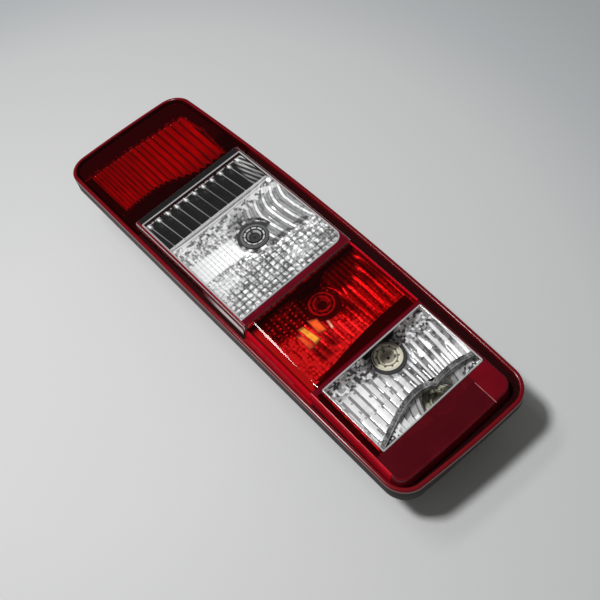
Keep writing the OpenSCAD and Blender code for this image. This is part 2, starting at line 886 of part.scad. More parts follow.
// black band under the red lens, its far edge an arc
module middle_bezel() {
    arc_r = 410;
    arc_x = wall_4 - 2.5;
    bezel_y0 = block_lean + middle_r / 3 - edge_l;
    color([0.06, 0.02, 0.025])
        difference() {
            intersection() {
                layer(seat_h, middle_h - lens_t - 2);
                box(arc_x - 1, lower_win_x0 - 1, bezel_y0, edge_r - block_lean, 0, big);
                translate([arc_x + arc_r, 35, 0])
                    cylinder(r = arc_r, h = big, $fn = fine);
            }
            layer(seat_h - cut, middle_h - lens_t - 4.2);
        }
    color([0.06, 0.02, 0.025])
        intersection() {
            layer(seat_h, middle_h - lens_t - 3);
            box(wall_4 + 5, wall_4 + 8, bezel_y0, edge_r - block_lean, 0, big);
        }
}

// curved wall of two wings between the lower and the fog chamber
module gull_wing(i, y0, y1) {
    intersection() {
        difference() {
            translate([gull_x[i] + gull_r[i], gull_y[i], 0])
                cylinder(r = gull_r[i], h = big, $fn = fine / 4);
            translate([gull_x[i] + gull_r[i], gull_y[i], 0])
                cylinder(r = gull_r[i] - gull_t, h = big, $fn = fine / 4);
        }
        box(wall_5 - 2, lower_win_x1, y0, y1, 0, big);
        layer(seat_h, gull_top);
    }
}

module gull_divider() {
    color([0.3, 0.31, 0.33])
        union() {
            gull_wing(0, -bowl_l, gull_mid_y);
            gull_wing(1, gull_mid_y, edge_r - block_lean);
        }
}

// Housing

module body_outline(inset) {
    rounded_rect(body_x0 + inset, body_x1 - inset, inset - body_l, body_r - inset,
        body_corner - inset);
    rounded_rect(wall_4, pocket_x1 - inset, pocket_y0 + inset, body_r - inset,
        body_corner - inset);
}

module mount_places() {
    for (x = [-boss_x, boss_x], y = [-boss_l, boss_r])
        translate([x, y, 0])
            children();
}

module screw_places() {
    for (x = [carrier_x0 + 3 * screw_inset, (carrier_x0 + carrier_x1) / 2 - screw_shift,
            carrier_x1 - 3 * screw_inset],
            y = [carrier_y0 + screw_inset, carrier_y1 - screw_inset])
        translate([x, y, 0])
            children();
}

module bulkhead(x) {
    box(x - bulkhead_t / 2, x + bulkhead_t / 2, -inner_l - cut, inner_r + cut,
        back_z + housing_t - 0.01, big);
}

// plate that carries the lens and the reflectors, round the body
module housing_flange() {
    color([0.07, 0.07, 0.075])
        difference() {
            intersection() {
                outline_prism(rim_w + fit);
                layer(-weld_d - flange_t, -weld_d);
                box(-reach, reach, -flange_half, flange_half, 0, big);
            }
            translate([0, 0, back_z])
                linear_extrude(big)
                    body_outline(0);
        }
}

module boss_towers(gap) {
    mount_places()
        cylinder(d = boss_d + 2 * gap, h = insert_len + 2 * housing_t, $fn = 64);
}

// walls of the body and of its chambers
module housing() {
    color([0.07, 0.07, 0.075])
        difference() {
            intersection() {
                translate([0, 0, back_z + housing_t])
                    linear_extrude(big)
                        body_outline(0);
                under(-weld_d);
            }
            // chamber space, with the walls between the chambers left in
            difference() {
                translate([0, 0, back_z])
                    linear_extrude(big)
                        body_outline(housing_t);
                intersection() {
                    union() {
                        for (x = [wall_1, wall_2, wall_3, wall_4, wall_5])
                            bulkhead(x);
                    }
                    under(-weld_d);
                }
            }
            boss_towers(fit);
            // tunnels through the walls, where the strips and the shell pass
            box(connector_x - connector_len / 2 - 1, connector_x + connector_len / 2 + 1,
                opening_y0, opening_y1, back_z, shell_z1 + 1);
        }
}

// back plate, with the mounting bosses and the screw posts
module housing_back() {
    rib_h = 5;
    color([0.07, 0.07, 0.075])
        difference() {
            union() {
                translate([0, 0, back_z])
                    linear_extrude(housing_t)
                        body_outline(0);
                boss_towers(0);
                // locating ribs beside the bosses, and stiffening ribs
                for (x = [-boss_x, boss_x])
                    translate([x, 0, 0])
                        for (y = [-boss_l, boss_r])
                            box(-boss_d, boss_d, y - 1, y + 1, back_z - rib_h,
                                back_z + cut);
                for (x = [body_x0 + 14, body_x0 + 32])
                    box(x, x + 2, body_corner - body_l, body_r - body_corner,
                        back_z - rib_h, back_z + cut);
                screw_places()
                    translate([0, 0, back_z])
                        cylinder(d = post_d, h = screw_len, $fn = 48);
            }
            // opening for the bulb carrier, clear of the screw posts
            difference() {
                box(opening_x0, opening_x1, opening_y0, opening_y1, 0,
                    back_z + housing_t + cut);
                screw_places()
                    cylinder(d = post_d, h = big, $fn = 48);
            }
            mount_places()
                cylinder(d = insert_d + fit, h = insert_len, $fn = 64);
            mount_places()
                cylinder(d = insert_bore, h = insert_len + housing_t, $fn = 64);
            screw_places()
                cylinder(d = screw_d + fit, h = back_z + screw_len - 1, $fn = 48);
        }
}

// foam seal behind the flange, between the lamp and the vehicle
module body_gasket() {
    color([0.16, 0.16, 0.16])
        intersection() {
            difference() {
                outline_prism(rim_w + cut);
                outline_prism(rim_w + cut + foam_w);
            }
            layer(-weld_d - flange_t - foam_t, -weld_d - flange_t);
        }
}

module mount_inserts() {
    color([0.78, 0.62, 0.3])
        mount_places()
            difference() {
                cylinder(d = insert_d, h = insert_len, $fn = 64);
                translate([0, 0, -cut])
                    cylinder(d = insert_bore, h = insert_len + 2 * cut, $fn = 64);
            }
}

module breather_caps() {
    color([0.2, 0.2, 0.21])
        for (i = [0, 1])
            translate([breather_x[i], breather_y[i], back_z - breather_t])
                difference() {
                    cylinder(d = breather_d, h = breather_t, $fn = 64);
                    for (a = [0 : 60 : 300])
                        rotate([0, 0, a])
                            translate([breather_d / 2 - breather_vent_d, 0, -cut])
                                cylinder(d = breather_vent_d, h = breather_t / 2 + cut,
                                    $fn = 24);
                }
}

// Bulb carrier

module connector_cutout(gap) {
    box(connector_x - connector_len / 2 - gap, connector_x + connector_len / 2 + gap,
        connector_y - connector_w / 2 - gap, connector_y + connector_w / 2 + gap,
        0, big);
}

module bulb_carrier() {
    color([0.72, 0.7, 0.64])
        difference() {
            union() {
                translate([0, 0, plate_top - carrier_t])
                    linear_extrude(carrier_t)
                        rounded_rect(carrier_x0, carrier_x1, carrier_y0, carrier_y1, 6);
                for (x = [opening_x0 + carrier_rib_inset : carrier_rib_pitch
                        : opening_x1 - carrier_rib_inset])
                    box(x, x + carrier_rib_t, opening_y0 + 2, opening_y0 + 12,
                        plate_top - carrier_t - 2.5, plate_top);
            }
            connector_cutout(fit);
            screw_places()
                cylinder(d = screw_d + 2 * fit, h = back_z, $fn = 48);
        }
}

module carrier_gasket() {
    color([0.12, 0.12, 0.12])
        difference() {
            translate([0, 0, plate_top])
                linear_extrude(gasket_t)
                    difference() {
                        rounded_rect(carrier_x0 + cut, carrier_x1 - cut, carrier_y0 + cut,
                            carrier_y1 - cut, 5);
                        rounded_rect(opening_x0 + 1, opening_x1 - 1, opening_y0 + 1,
                            opening_y1 - 1, 3);
                    }
            screw_places()
                cylinder(d = screw_d + 2 * fit, h = big, $fn = 48);
        }
}

module carrier_screws() {
    color([0.6, 0.6, 0.62])
        screw_places()
            difference() {
                union() {
                    translate([0, 0, plate_top - carrier_t - screw_head_t])
                        cylinder(d = screw_head_d, h = screw_head_t, $fn = 48);
                    translate([0, 0, plate_top - carrier_t])
                        cylinder(d = screw_d, h = screw_len + carrier_t, $fn = 48);
                }
                translate([0, 0, plate_top - carrier_t - screw_head_t - cut]) {
                    box(-2, 2, -0.4, 0.4, 0, cut + 1.2);
                    box(-0.4, 0.4, -2, 2, 0, cut + 1.2);
                }
            }
}

// copper strips from the connector to the holders
module contact_strips() {
    strip_t = 0.6;
    strip_w = 2;
    strip_y = opening_y1 - 1 - fit - strip_w;
    color([0.8, 0.5, 0.3])
        translate([0, 0, plate_top]) {
            box(opening_x0 + 8, opening_x1 - 8, strip_y, strip_y + strip_w, 0, strip_t);
            box(connector_x - strip_w / 2, connector_x + strip_w / 2,
                connector_y + connector_w / 2 + 1 + fit, strip_y + strip_w, 0, strip_t);
            for (k = [0 : 3])
                box(holder_x[k] - strip_w / 2, holder_x[k] + strip_w / 2,
                    holder_y[k] + tower_r + 1 + fit, strip_y + strip_w, 0, strip_t);
        }
}

module connector_shell() {
    w0 = connector_len / 2;
    y0 = connector_y;
    v0 = connector_w / 2;
    color([0.1, 0.1, 0.11])
        difference() {
            union() {
                box(connector_x - w0, connector_x + w0, y0 - v0, y0 + v0,
                    shell_z0, shell_z1);
                box(connector_x - w0 - 3, connector_x + w0 + 3, y0 - v0 - 1,
                    y0 + v0 + 1, plate_top + 0.7, plate_top + 2.2);
                box(connector_x - 4, connector_x + 4, y0 + v0, y0 + v0 + 2.5,
                    shell_z0, shell_z0 + 4);
            }
            box(connector_x - w0 + shell_t, connector_x + w0 - shell_t,
                y0 - v0 + shell_t, y0 + v0 - shell_t, shell_z0 - cut,
                shell_z1 - shell_t);
            pin_places()
                box(-0.5, 0.5, -1.4, 1.4, 0, big);
        }
}

module pin_places() {
    pitch = (connector_len - 2 * shell_t - 4) / connector_pins;
    for (i = [0 : connector_pins - 1])
        translate([connector_x + (i - (connector_pins - 1) / 2) * pitch,
                connector_y, 0])
            children();
}

module connector_pins_set() {
    color([0.8, 0.75, 0.6])
        pin_places()
            union() {
                box(-0.4, 0.4, -1.25, 1.25, shell_z0 + 5, shell_z1 + 3);
            }
}

// Bulb holders

module holder(i, tone) {
    top = seat_z(i) + seal_t + 0.8;
    lip = 1.6;
    color(tone)
        translate([holder_x[i], holder_y[i], 0])
            difference() {
                union() {
                    translate([0, 0, plate_top])
                        cylinder(r = tower_r, h = top - plate_top, $fn = 96);
                    translate([0, 0, plate_top])
                        cylinder(r = tower_r + 1, h = 2, $fn = 96);
                }
                translate([0, 0, top - lip])
                    cylinder(r = tower_r - 2.2, h = lip + cut, $fn = 96);
                translate([0, 0, top - holder_bore_d])
                    cylinder(d = holder_bore, h = holder_bore_d + cut, $fn = 96);
                for (a = [20, 200])
                    rotate([0, 0, a])
                        box(0, holder_bore / 2 + 1.4, -1.2, 1.2, top - 8, top + cut);
                for (a = [65 : 90 : 335])
                    rotate([0, 0, a])
                        translate([tower_r - 3.4, 0, top - lip - 1.5])
                            cylinder(d = 1.4, h = 3, $fn = 24);
                translate([0, 0, plate_top - cut])
                    cylinder(r = tower_r - 3, h = top - holder_bore_d - plate_top - 2 + cut,
                        $fn = 96);
            }
}

module holder_upper() {
    holder(0, [0.13, 0.13, 0.14]);
}

module holder_middle() {
    holder(1, [0.3, 0.28, 0.27]);
}

module holder_lower() {
    holder(2, [0.8, 0.77, 0.66]);
}

module holder_fog() {
    holder(3, [0.8, 0.77, 0.66]);
}

module holder_seals() {
    color([0.03, 0.03, 0.03])
        for (i = [0 : 3])
            translate([holder_x[i], holder_y[i], seat_z(i)])
                difference() {
                    cylinder(d = seal_od, h = seal_t, $fn = 96);
                    translate([0, 0, -cut])
                        cylinder(d = holder_od + 2 * fit, h = seal_t + 2 * cut, $fn = 96);
                }
}

// spring contact at the bottom of each bore
module socket_contacts() {
    color([0.75, 0.6, 0.35])
        for (i = [0 : 3])
            translate([holder_x[i], holder_y[i], seat_z(i) + seal_t + 0.8
                    - holder_bore_d]) {
                cylinder(d = 9, h = 0.6, $fn = 48);
                cylinder(d = 4.4, h = 2.6, $fn = 48);
            }
}

outer_lens();
upper_window();
lower_window();
far_bezel();
far_reflector();
strip_plate();
window_bar();
upper_reflector();
middle_reflector();
middle_bezel();
lower_reflector();
gull_divider();
fog_reflector();
housing();
housing_flange();
housing_back();
body_gasket();
mount_inserts();
bulb_carrier();
carrier_gasket();
carrier_screws();
contact_strips();
connector_shell();
connector_pins_set();
holder_upper();
holder_middle();
holder_lower();
holder_fog();
holder_seals();
socket_contacts();
breather_caps();
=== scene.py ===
import math

import bpy
import numpy as np
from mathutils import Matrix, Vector


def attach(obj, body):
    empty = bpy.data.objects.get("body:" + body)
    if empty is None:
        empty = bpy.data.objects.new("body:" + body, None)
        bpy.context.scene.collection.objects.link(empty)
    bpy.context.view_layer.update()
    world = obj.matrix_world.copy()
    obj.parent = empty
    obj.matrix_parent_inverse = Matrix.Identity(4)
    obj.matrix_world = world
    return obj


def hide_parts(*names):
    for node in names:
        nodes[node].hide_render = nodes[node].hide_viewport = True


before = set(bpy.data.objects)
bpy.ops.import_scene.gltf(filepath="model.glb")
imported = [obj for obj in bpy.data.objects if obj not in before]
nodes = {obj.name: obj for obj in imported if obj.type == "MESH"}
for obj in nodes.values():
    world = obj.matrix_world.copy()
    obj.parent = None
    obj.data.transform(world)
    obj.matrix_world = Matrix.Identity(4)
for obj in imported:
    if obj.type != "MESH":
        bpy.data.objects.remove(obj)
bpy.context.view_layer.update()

# Sizes shared by the pieces, in millimetres. A height h is measured from the crowned
# rim of the lens, x runs along the lamp and y across it.

lens = dict(half=226.25, width=138.0, corner=21.0, sideBow=2.6, rimZ=73.0, crown=12.6,
            rimW=3.5, grooveD=4.5, wall=2.5, skirt=10.0, sideSkirt=18.0)
lensEnds = dict(
    far=dict(side=-1, x=227.0, bow=2.0, skew=1.9),
    near=dict(side=1, x=226.25, bow=2.4, skew=3.4),
    block=dict(side=1, x=218.85, bow=2.4, skew=1.2))
blocks = dict(
    upper=dict(x0=-109.0, x1=41.5, top=11.0, left=1.5, right=1.5),
    middle=dict(x0=41.0, x1=118.6, top=8.0, left=12.0, right=1.5),
    lower=dict(x0=118.0, x1=218.85, top=7.0, left=1.5, right=1.5, corner=12.0))
foot = dict(left=-63.0, right=56.3, h=-9.0, lean=2.5)
windows = dict(
    upper=dict(x0=-102.0, x1=35.9, y0=-58.6, y1=52.0, top=11.0, corner=9.0),
    lower=dict(x0=122.0, x1=188.4, y0=-52.4, y1=52.0, top=7.0, corner=2.0))
outlineSteps = dict(side=150, end=36, corner=20)
tableSize = (257, 263)  # cells of a random field before it repeats
crownR = (lens["half"] ** 2 + lens["crown"] ** 2) / (2 * lens["crown"])
bowR = (lens["half"] ** 2 + lens["sideBow"] ** 2) / (2 * lens["sideBow"])


# height of the crowned rim: one arc along the lamp
def rimAt(x):
    return lens["rimZ"] - crownR + np.sqrt(crownR ** 2 - np.asarray(x, float) ** 2)


def onCrown(x, y, h):
    x, y, h = np.broadcast_arrays(*[np.asarray(v, float) for v in (x, y, h)])
    return np.stack([x, y, rimAt(x) + h], axis=-1)


# step from 0 at a to 1 at b, level at both ends
def smooth(a, b, t):
    s = np.clip((np.asarray(t, float) - a) / (b - a), 0, 1)
    return s * s * (3 - 2 * s)


def fade(a, b, t):
    return 1 - smooth(a, b, t)


# 1 within half of the middle, fading to 0 over the soft width
def band(t, middle, half, soft):
    return fade(half, half + soft, np.abs(t - middle))


# an even random number for each whole-numbered cell
def lattice(i, j, seed):
    table = np.random.default_rng(seed).random(tableSize)
    return table[np.asarray(i).astype(int) % tableSize[0],
                 np.asarray(j).astype(int) % tableSize[1]]


def mixed(a, b, share):
    return np.asarray(a) * (1 - share) + np.asarray(b) * share


# soft random field from 0 to 1: the numbers of the four cells round a place, blended
def cloud(x, y, size, seed):
    u, v = np.asarray(x) / size, np.asarray(y) / size
    i, j = np.floor(u), np.floor(v)
    s, t = smooth(0, 1, u - i), smooth(0, 1, v - j)
    low = mixed(lattice(i, j, seed), lattice(i + 1, j, seed), s)
    high = mixed(lattice(i, j + 1, seed), lattice(i + 1, j + 1, seed), s)
    return mixed(low, high, t)


# one colour at many levels of lightness
def colored(level, color):
    return level[..., None] * np.array(color)


# Meshes

def addMesh(name, points, faces, materials, faceMaterial=None, tone=None, smoothAngle=35):
    mesh = bpy.data.meshes.new(name)
    points = np.asarray(points, float).reshape(-1, 3)
    faces = [tuple(int(v) for v in face) for face in faces]
    mesh.from_pydata((points * 0.001).tolist(), [], faces)
    mesh.shade_smooth()
    mesh.set_sharp_from_angle(angle=math.radians(smoothAngle))
    piece = bpy.data.objects.new(name, mesh)
    bpy.context.scene.collection.objects.link(piece)
    for material in materials:
        mesh.materials.append(material)
    if faceMaterial is not None:
        mesh.polygons.foreach_set("material_index", np.asarray(faceMaterial, np.int32))
    if tone is not None:
        tone = np.asarray(tone, float)
        if tone.ndim == 1:
            tone = np.stack([tone] * 3, axis=-1)
        colors = np.ones((len(points), 4))
        colors[:, :3] = tone
        layer = mesh.color_attributes.new("tone", "FLOAT_COLOR", "POINT")
        layer.data.foreach_set("color", colors.ravel())
    mesh.update()
    return piece


# places of a grid over a box [x0, x1, y0, y1]
def boxGrid(look):
    x0, x1, y0, y1 = look["box"]
    nx, ny = look["steps"]
    return np.meshgrid(np.linspace(x0, x1, nx), np.linspace(y0, y1, ny), indexing="ij")


# how far across the box places lie, from 0 to 1 both ways
def boxShare(look, x, y):
    x0, x1, y0, y1 = look["box"]
    return (x - x0) / (x1 - x0), (y - y0) / (y1 - y0)


# quads between neighbouring grid points, row by row
def gridFaces(nu, nv, keep=None, flip=False, closed=False):
    rows = np.arange(nu if closed else nu - 1)
    i, k = np.meshgrid(rows, np.arange(nv - 1), indexing="ij")
    j = (i + 1) % nu
    quads = np.stack([i * nv + k, j * nv + k, j * nv + k + 1, i * nv + k + 1], axis=-1)
    if flip:
        quads = quads[..., ::-1]
    quads = quads.reshape(-1, 4)
    return quads if keep is None else quads[np.asarray(keep).ravel()]


def faceMiddles(grid):
    return (grid[:-1, :-1] + grid[1:, :-1] + grid[1:, 1:] + grid[:-1, 1:]) / 4


def addGrid(name, grid, material, keep=None, flip=False, closed=False, tone=None,
            smoothAngle=35):
    faces = gridFaces(*grid.shape[:2], keep, flip, closed)
    tone = tone.reshape(-1, 3) if tone.ndim == 3 else tone.ravel()
    return addMesh(name, grid, faces, [material], None, tone, smoothAngle)


# gathers surfaces that go into one mesh, each with the number of its material
class Parts:
    def __init__(self):
        self.points, self.faces, self.kinds, self.tones, self.count = [], [], [], [], 0

    def add(self, grid, kind=0, keep=None, flip=False, closed=False, tone=None):
        nu, nv = grid.shape[:2]
        faces = gridFaces(nu, nv, keep, flip, closed) + self.count
        self.points.append(grid.reshape(-1, 3))
        self.faces += faces.tolist()
        self.kinds += [kind] * len(faces)
        if tone is not None:
            self.tones.append(tone.reshape(-1, 3))
        self.count += nu * nv

    def make(self, name, materials):
        return addMesh(name, np.vstack(self.points), self.faces, materials, self.kinds,
                       np.vstack(self.tones) if self.tones else None)


# the piece moves with the lamp and is seen in place of these solids
def standsFor(piece, *names):
    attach(piece, "root")
    for name in names:
        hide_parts(name)


# Outline of the lens

# radius and centre of the arc that closes one end of the lens
def endArc(end):
    e = lensEnds[end]
    half = lens["width"] / 2
    r = (half ** 2 + e["bow"] ** 2) / (2 * e["bow"])
    cy = e["side"] * r * e["skew"] / half
    cx = e["side"] * (e["x"] - math.sqrt(r * r - cy * cy))
    return r, cx, cy, e["side"]


# centre of a round corner that touches both the side arc and the end arc
def cornerCentre(end, side):
    r, cx, cy, way = endArc(end)
    x = way * (lens["half"] - lens["corner"])
    for _ in range(4):
        y = side * (math.sqrt((bowR - lens["corner"]) ** 2 - x * x) - bowR
                    + lens["width"] / 2)
        x = cx + way * math.sqrt((r - lens["corner"]) ** 2 - (y - cy) ** 2)
    return x, y


def arcPoints(cx, cy, r, a0, a1, count):
    a = np.linspace(a0, a1, count, endpoint=False)
    return np.stack([cx + r * np.cos(a), cy + r * np.sin(a)], axis=-1)


# the lens outline, anticlockwise from above, drawn in by a distance: corner, end,
# corner and side arcs, once for each end
def outline(inset):
    legs = []
    for end, first in (("near", -1), ("far", 1)):
        r, cx, cy, way = endArc(end)
        a, b = cornerCentre(end, first), cornerCentre(end, -first)
        base = 0.0 if way > 0 else math.pi
        sideY = first * (lens["width"] / 2 - bowR)
        sideA = math.atan2(a[1] - sideY, a[0])
        endA = base + math.atan2((a[1] - cy) * way, (a[0] - cx) * way)
        endB = base + math.atan2((b[1] - cy) * way, (b[0] - cx) * way)
        other = cornerCentre("far" if end == "near" else "near", -first)
        sideB = math.atan2(b[1] + sideY, b[0])
        sideC = math.atan2(other[1] + sideY, other[0])
        if way < 0:
            sideB, sideC = sideB + 2 * math.pi, sideC + 2 * math.pi
        cut = lens["corner"] - inset
        legs.append(arcPoints(*a, cut, sideA, endA, outlineSteps["corner"]))
        legs.append(arcPoints(cx, cy, r - inset, endA, endB, outlineSteps["end"]))
        legs.append(arcPoints(*b, cut, endB, sideB, outlineSteps["corner"]))
        legs.append(arcPoints(0, -sideY, bowR - inset, sideB, sideC, outlineSteps["side"]))
    return np.vstack(legs)


# Materials

def newMaterial(name):
    material = bpy.data.materials.new(name)
    material.use_nodes = True
    tree = material.node_tree
    tree.nodes.clear()
    return material, tree, tree.nodes.new("ShaderNodeOutputMaterial")


def addNode(tree, kind, **values):
    made = tree.nodes.new("ShaderNode" + kind)
    for key, value in values.items():
        if key in made.inputs.keys():
            made.inputs[key].default_value = value
        else:
            setattr(made, key, value)
    return made


def join(tree, source, out, target, into):
    tree.links.new(source.outputs[out], target.inputs[into])


def grainOf(tree, scale, detail=3.0):
    where = addNode(tree, "TexCoord")
    noise = addNode(tree, "TexNoise", Scale=scale, Detail=detail)
    join(tree, where, "Object", noise, "Vector")
    return noise


def bumpFrom(tree, noise, strength, distance, shader):
    bump = addNode(tree, "Bump", Strength=strength, Distance=distance)
    join(tree, noise, "Fac", bump, "Height")
    join(tree, bump, "Normal", shader, "Normal")


# a colour that the grain makes a little darker and lighter
def colorSpread(tree, noise, color, spread):
    ramp = addNode(tree, "ValToRGB")
    for stop, place, way in zip(ramp.color_ramp.elements, (0.3, 0.7), (-1, 1)):
        stop.position = place
        stop.color = (*[min(1, c * (1 + way * spread)) for c in color], 1)
    join(tree, noise, "Fac", ramp, "Fac")
    return ramp


def solid(name, color, roughness, grain=900, relief=0.15, spread=0.12, metallic=0.0,
          specular=0.5):
    material, tree, out = newMaterial(name)
    shader = addNode(tree, "BsdfPrincipled", Roughness=roughness, Metallic=metallic)
    shader.inputs["Specular IOR Level"].default_value = specular
    noise = grainOf(tree, grain)
    bumpFrom(tree, noise, relief, 0.0003, shader)
    join(tree, colorSpread(tree, noise, color, spread), "Color", shader, "Base Color")
    join(tree, shader, "BSDF", out, "Surface")
    return material


# moulded clear plastic: tint for what shows through, and a share of solid colour
def seeThrough(name, tint, body, share, roughness=0.03, ripple=0.05, ior=1.49):
    material, tree, out = newMaterial(name)
    through = addNode(tree, "BsdfTransparent", Color=(*tint, 1))
    fill = addNode(tree, "BsdfDiffuse")
    noise = grainOf(tree, 60, 2.0)
    join(tree, colorSpread(tree, noise, body, 0.1), "Color", fill, "Color")
    inside = addNode(tree, "MixShader", Fac=share)
    join(tree, through, 0, inside, 1)
    join(tree, fill, 0, inside, 2)
    shine = addNode(tree, "BsdfGlossy", Roughness=roughness)
    bumpFrom(tree, noise, ripple, 0.0004, shine)
    fresnel = addNode(tree, "Fresnel", IOR=ior)
    whole = addNode(tree, "MixShader")
    join(tree, fresnel, 0, whole, 0)
    join(tree, inside, 0, whole, 1)
    join(tree, shine, 0, whole, 2)
    join(tree, whole, "Shader", out, "Surface")
    return material


# finish whose lightness is stored with the mesh
def toned(name, color, roughness, metallic, grain=500, relief=0.1, coat=0.0, specular=0.5):
    material, tree, out = newMaterial(name)
    shader = addNode(tree, "BsdfPrincipled", Roughness=roughness, Metallic=metallic)
    shader.inputs["Coat Weight"].default_value = coat
    shader.inputs["Specular IOR Level"].default_value = specular
    bumpFrom(tree, grainOf(tree, grain), relief, 0.0003, shader)
    tone = addNode(tree, "Attribute", attribute_name="tone")
    mix = addNode(tree, "Mix", data_type="RGBA", blend_type="MULTIPLY")
    mix.inputs[0].default_value = 1.0
    join(tree, tone, "Color", mix, 6)
    mix.inputs[7].default_value = (*color, 1)
    join(tree, mix, 2, shader, "Base Color")
    join(tree, shader, "BSDF", out, "Surface")
    return material


print("stage: materials")
white = (1.0, 1.0, 1.0)
redTint = (0.5, 0.008, 0.014)
panelTint = (0.5, 0.012, 0.018)

redTop = seeThrough("red_lens", (0.8, 0.025, 0.035), (0.4, 0.004, 0.01), 0.03)
redClear = seeThrough("red_lens_clear", (0.85, 0.1, 0.105), (0.3, 0.004, 0.008), 0.02)
redWall = seeThrough("red_lens_wall", (0.45, 0.01, 0.016), (0.24, 0.008, 0.018), 0.55,
                     0.16, 0.02, 1.35)
redSide = seeThrough("red_lens_side", redTint, (0.5, 0.003, 0.012), 0.8, 0.2, 0.02, 1.05)
redFoot = seeThrough("red_lens_foot", redTint, (0.13, 0.004, 0.01), 0.75, 0.16, 0.02, 1.35)
# lighter red for the lower block's outboard wall: painted light
redLeft = seeThrough("red_lens_left", redTint, (0.4, 0.004, 0.014), 0.9, 0.16, 0.02, 1.2)
redBorder = seeThrough("red_lens_border", (0.4, 0.01, 0.02), (0.1, 0.003, 0.01), 0.85)
# lighter red for the part of the lower block's plain end right of the panel line: painted
# light
redLit = seeThrough("red_lens_lit", panelTint, (0.12, 0.003, 0.008), 0.95)
redPanel = seeThrough("red_lens_end", panelTint, (0.06, 0.003, 0.006), 0.95)
tailCoverRed = seeThrough("tail_cover", (0.85, 0.25, 0.28), (0.05, 0.002, 0.004), 0.05)
clearPane = seeThrough("clear_window", (0.97, 0.975, 0.98), (0.6, 0.6, 0.61), 0.004)
paneEdge = seeThrough("clear_window_edge", (0.7, 0.7, 0.72), (0.42, 0.41, 0.42), 0.7,
                      0.12, 0.1)

redRim = solid("red_rim", (0.12, 0.003, 0.006), 0.2, 400, 0.02, 0.1, specular=0.35)
skirtDark = solid("skirt_dark", (0.02, 0.008, 0.008), 0.5, 300, 0.05, 0.2)
# near black groove floor: the dark housing seen through the lens, and painted shade
grooveBlack = solid("groove_dark", (0.014, 0.001, 0.0015), 0.6, 300, 0.05, 0.2,
                    specular=0.03)
grooveRed = solid("groove_red", (0.24, 0.002, 0.006), 0.6, 300, 0.05, 0.2, specular=0.02)
maroon = solid("maroon_frame", (0.02, 0.003, 0.005), 0.35, 600, 0.05, 0.15)
bandBlack = solid("black_band", (0.012, 0.004, 0.005), 0.25, 500, 0.08, 0.3)
wingGrey = solid("grey_wall", (0.07, 0.072, 0.078), 0.3, 500, 0.3, 0.5, metallic=0.3)
housingBlack = solid("black_moulding", (0.014, 0.014, 0.015), 0.45, 1100, 0.2, 0.2)
carrierGrey = solid("carrier_moulding", (0.42, 0.4, 0.34), 0.5, 900, 0.15, 0.08)
creamHolder = solid("cream_holder", (0.55, 0.52, 0.42), 0.45, 800, 0.1, 0.12)
greyHolder = solid("grey_holder", (0.1, 0.1, 0.105), 0.4, 800, 0.1, 0.2)
darkHolder = solid("dark_holder", (0.035, 0.03, 0.03), 0.4, 800, 0.1, 0.2)
sealBlack = solid("seal_rubber", (0.008, 0.008, 0.008), 0.6, 900, 0.2, 0.2)
foamBlack = solid("foam", (0.02, 0.02, 0.02), 0.95, 1500, 0.8, 0.4)
brassFinish = solid("brass", (0.6, 0.42, 0.16), 0.3, 900, 0.1, 0.1, 1.0)
contactFinish = solid("contact_metal", (0.55, 0.36, 0.2), 0.35, 900, 0.1, 0.15, 1.0)
screwFinish = solid("zinc_screw", (0.5, 0.5, 0.52), 0.35, 900, 0.1, 0.15, 1.0)

skirtFinish = toned("skirt", white, 0.6, 0.0, 300, 0.05, specular=0.15)
# on the metallised skins the stored lightness is painted reflection: bright and dark
# facets, glints and streaks
chrome = toned("metallised", (0.95, 0.95, 0.96), 0.22, 0.2, 420, 0.5)
socketFinish = toned("socket_face", (0.95, 0.95, 0.95), 0.6, 0.0, specular=0.05)
glintFinish = toned("wall_glint", white, 0.3, 0.0)
# painted reflection of the amber bulb glass
paintedAmberReflection = toned("painted_amber_reflection", white, 0.2, 0.0)
redBack = toned("red_ribbed", white, 0.3, 0.0, coat=0.3)
blackGloss = toned("black_gloss", white, 0.18, 0.0)

cadFinish = dict(
    upper_window=clearPane, lower_window=clearPane, window_bar=clearPane,
    far_bezel=maroon, far_reflector=maroon, strip_plate=bandBlack,
    middle_bezel=bandBlack, gull_divider=wingGrey, housing=housingBlack,
    housing_flange=housingBlack, housing_back=housingBlack, body_gasket=foamBlack,
    mount_inserts=brassFinish, bulb_carrier=carrierGrey, carrier_gasket=sealBlack,
    carrier_screws=screwFinish, contact_strips=contactFinish,
    connector_shell=housingBlack, connector_pins_set=contactFinish,
    holder_upper=greyHolder, holder_middle=darkHolder, holder_lower=creamHolder,
    holder_fog=creamHolder, holder_seals=sealBlack, socket_contacts=brassFinish,
    breather_caps=housingBlack)
for name, material in cadFinish.items():
    mesh = nodes[name].data
    mesh.materials.clear()
    mesh.materials.append(material)


print("stage: red lens")
lensLook = dict(rimRound=1.5, redDepth=3.6, grooveInner=13.0, redGroove=(41, 119),
                grey=(0.075, 0.045, 0.048), dark=(0.018, 0.007, 0.007),
                fade=(-60, 170), rows=(0.5, 0.6, 0.9, 1.15, 1.2))


# depth of the skirt's lower edge; the outboard side hangs deeper and turns up in a
# round of half the corner radius at both ends
def skirtDepth(x, y):
    run = lens["corner"] / 2
    low = float(rimAt(lens["half"])) - lens["sideSkirt"]
    over = np.clip(np.abs(x) - (lens["half"] - run), 0, run)
    z = low + run - np.sqrt(run * run - over * over)
    deep = np.clip(rimAt(x) - z, lens["skirt"], lens["sideSkirt"])
    return np.where(y < -2, deep, lens["skirt"])


# carries [inset, h] points round the lens; h may hold one value per place
def sweep(profile):
    return np.stack([onCrown(*outline(inset).T, h) for inset, h in profile], axis=1)


def skirtEdge():
    return -skirtDepth(*outline(0).T)


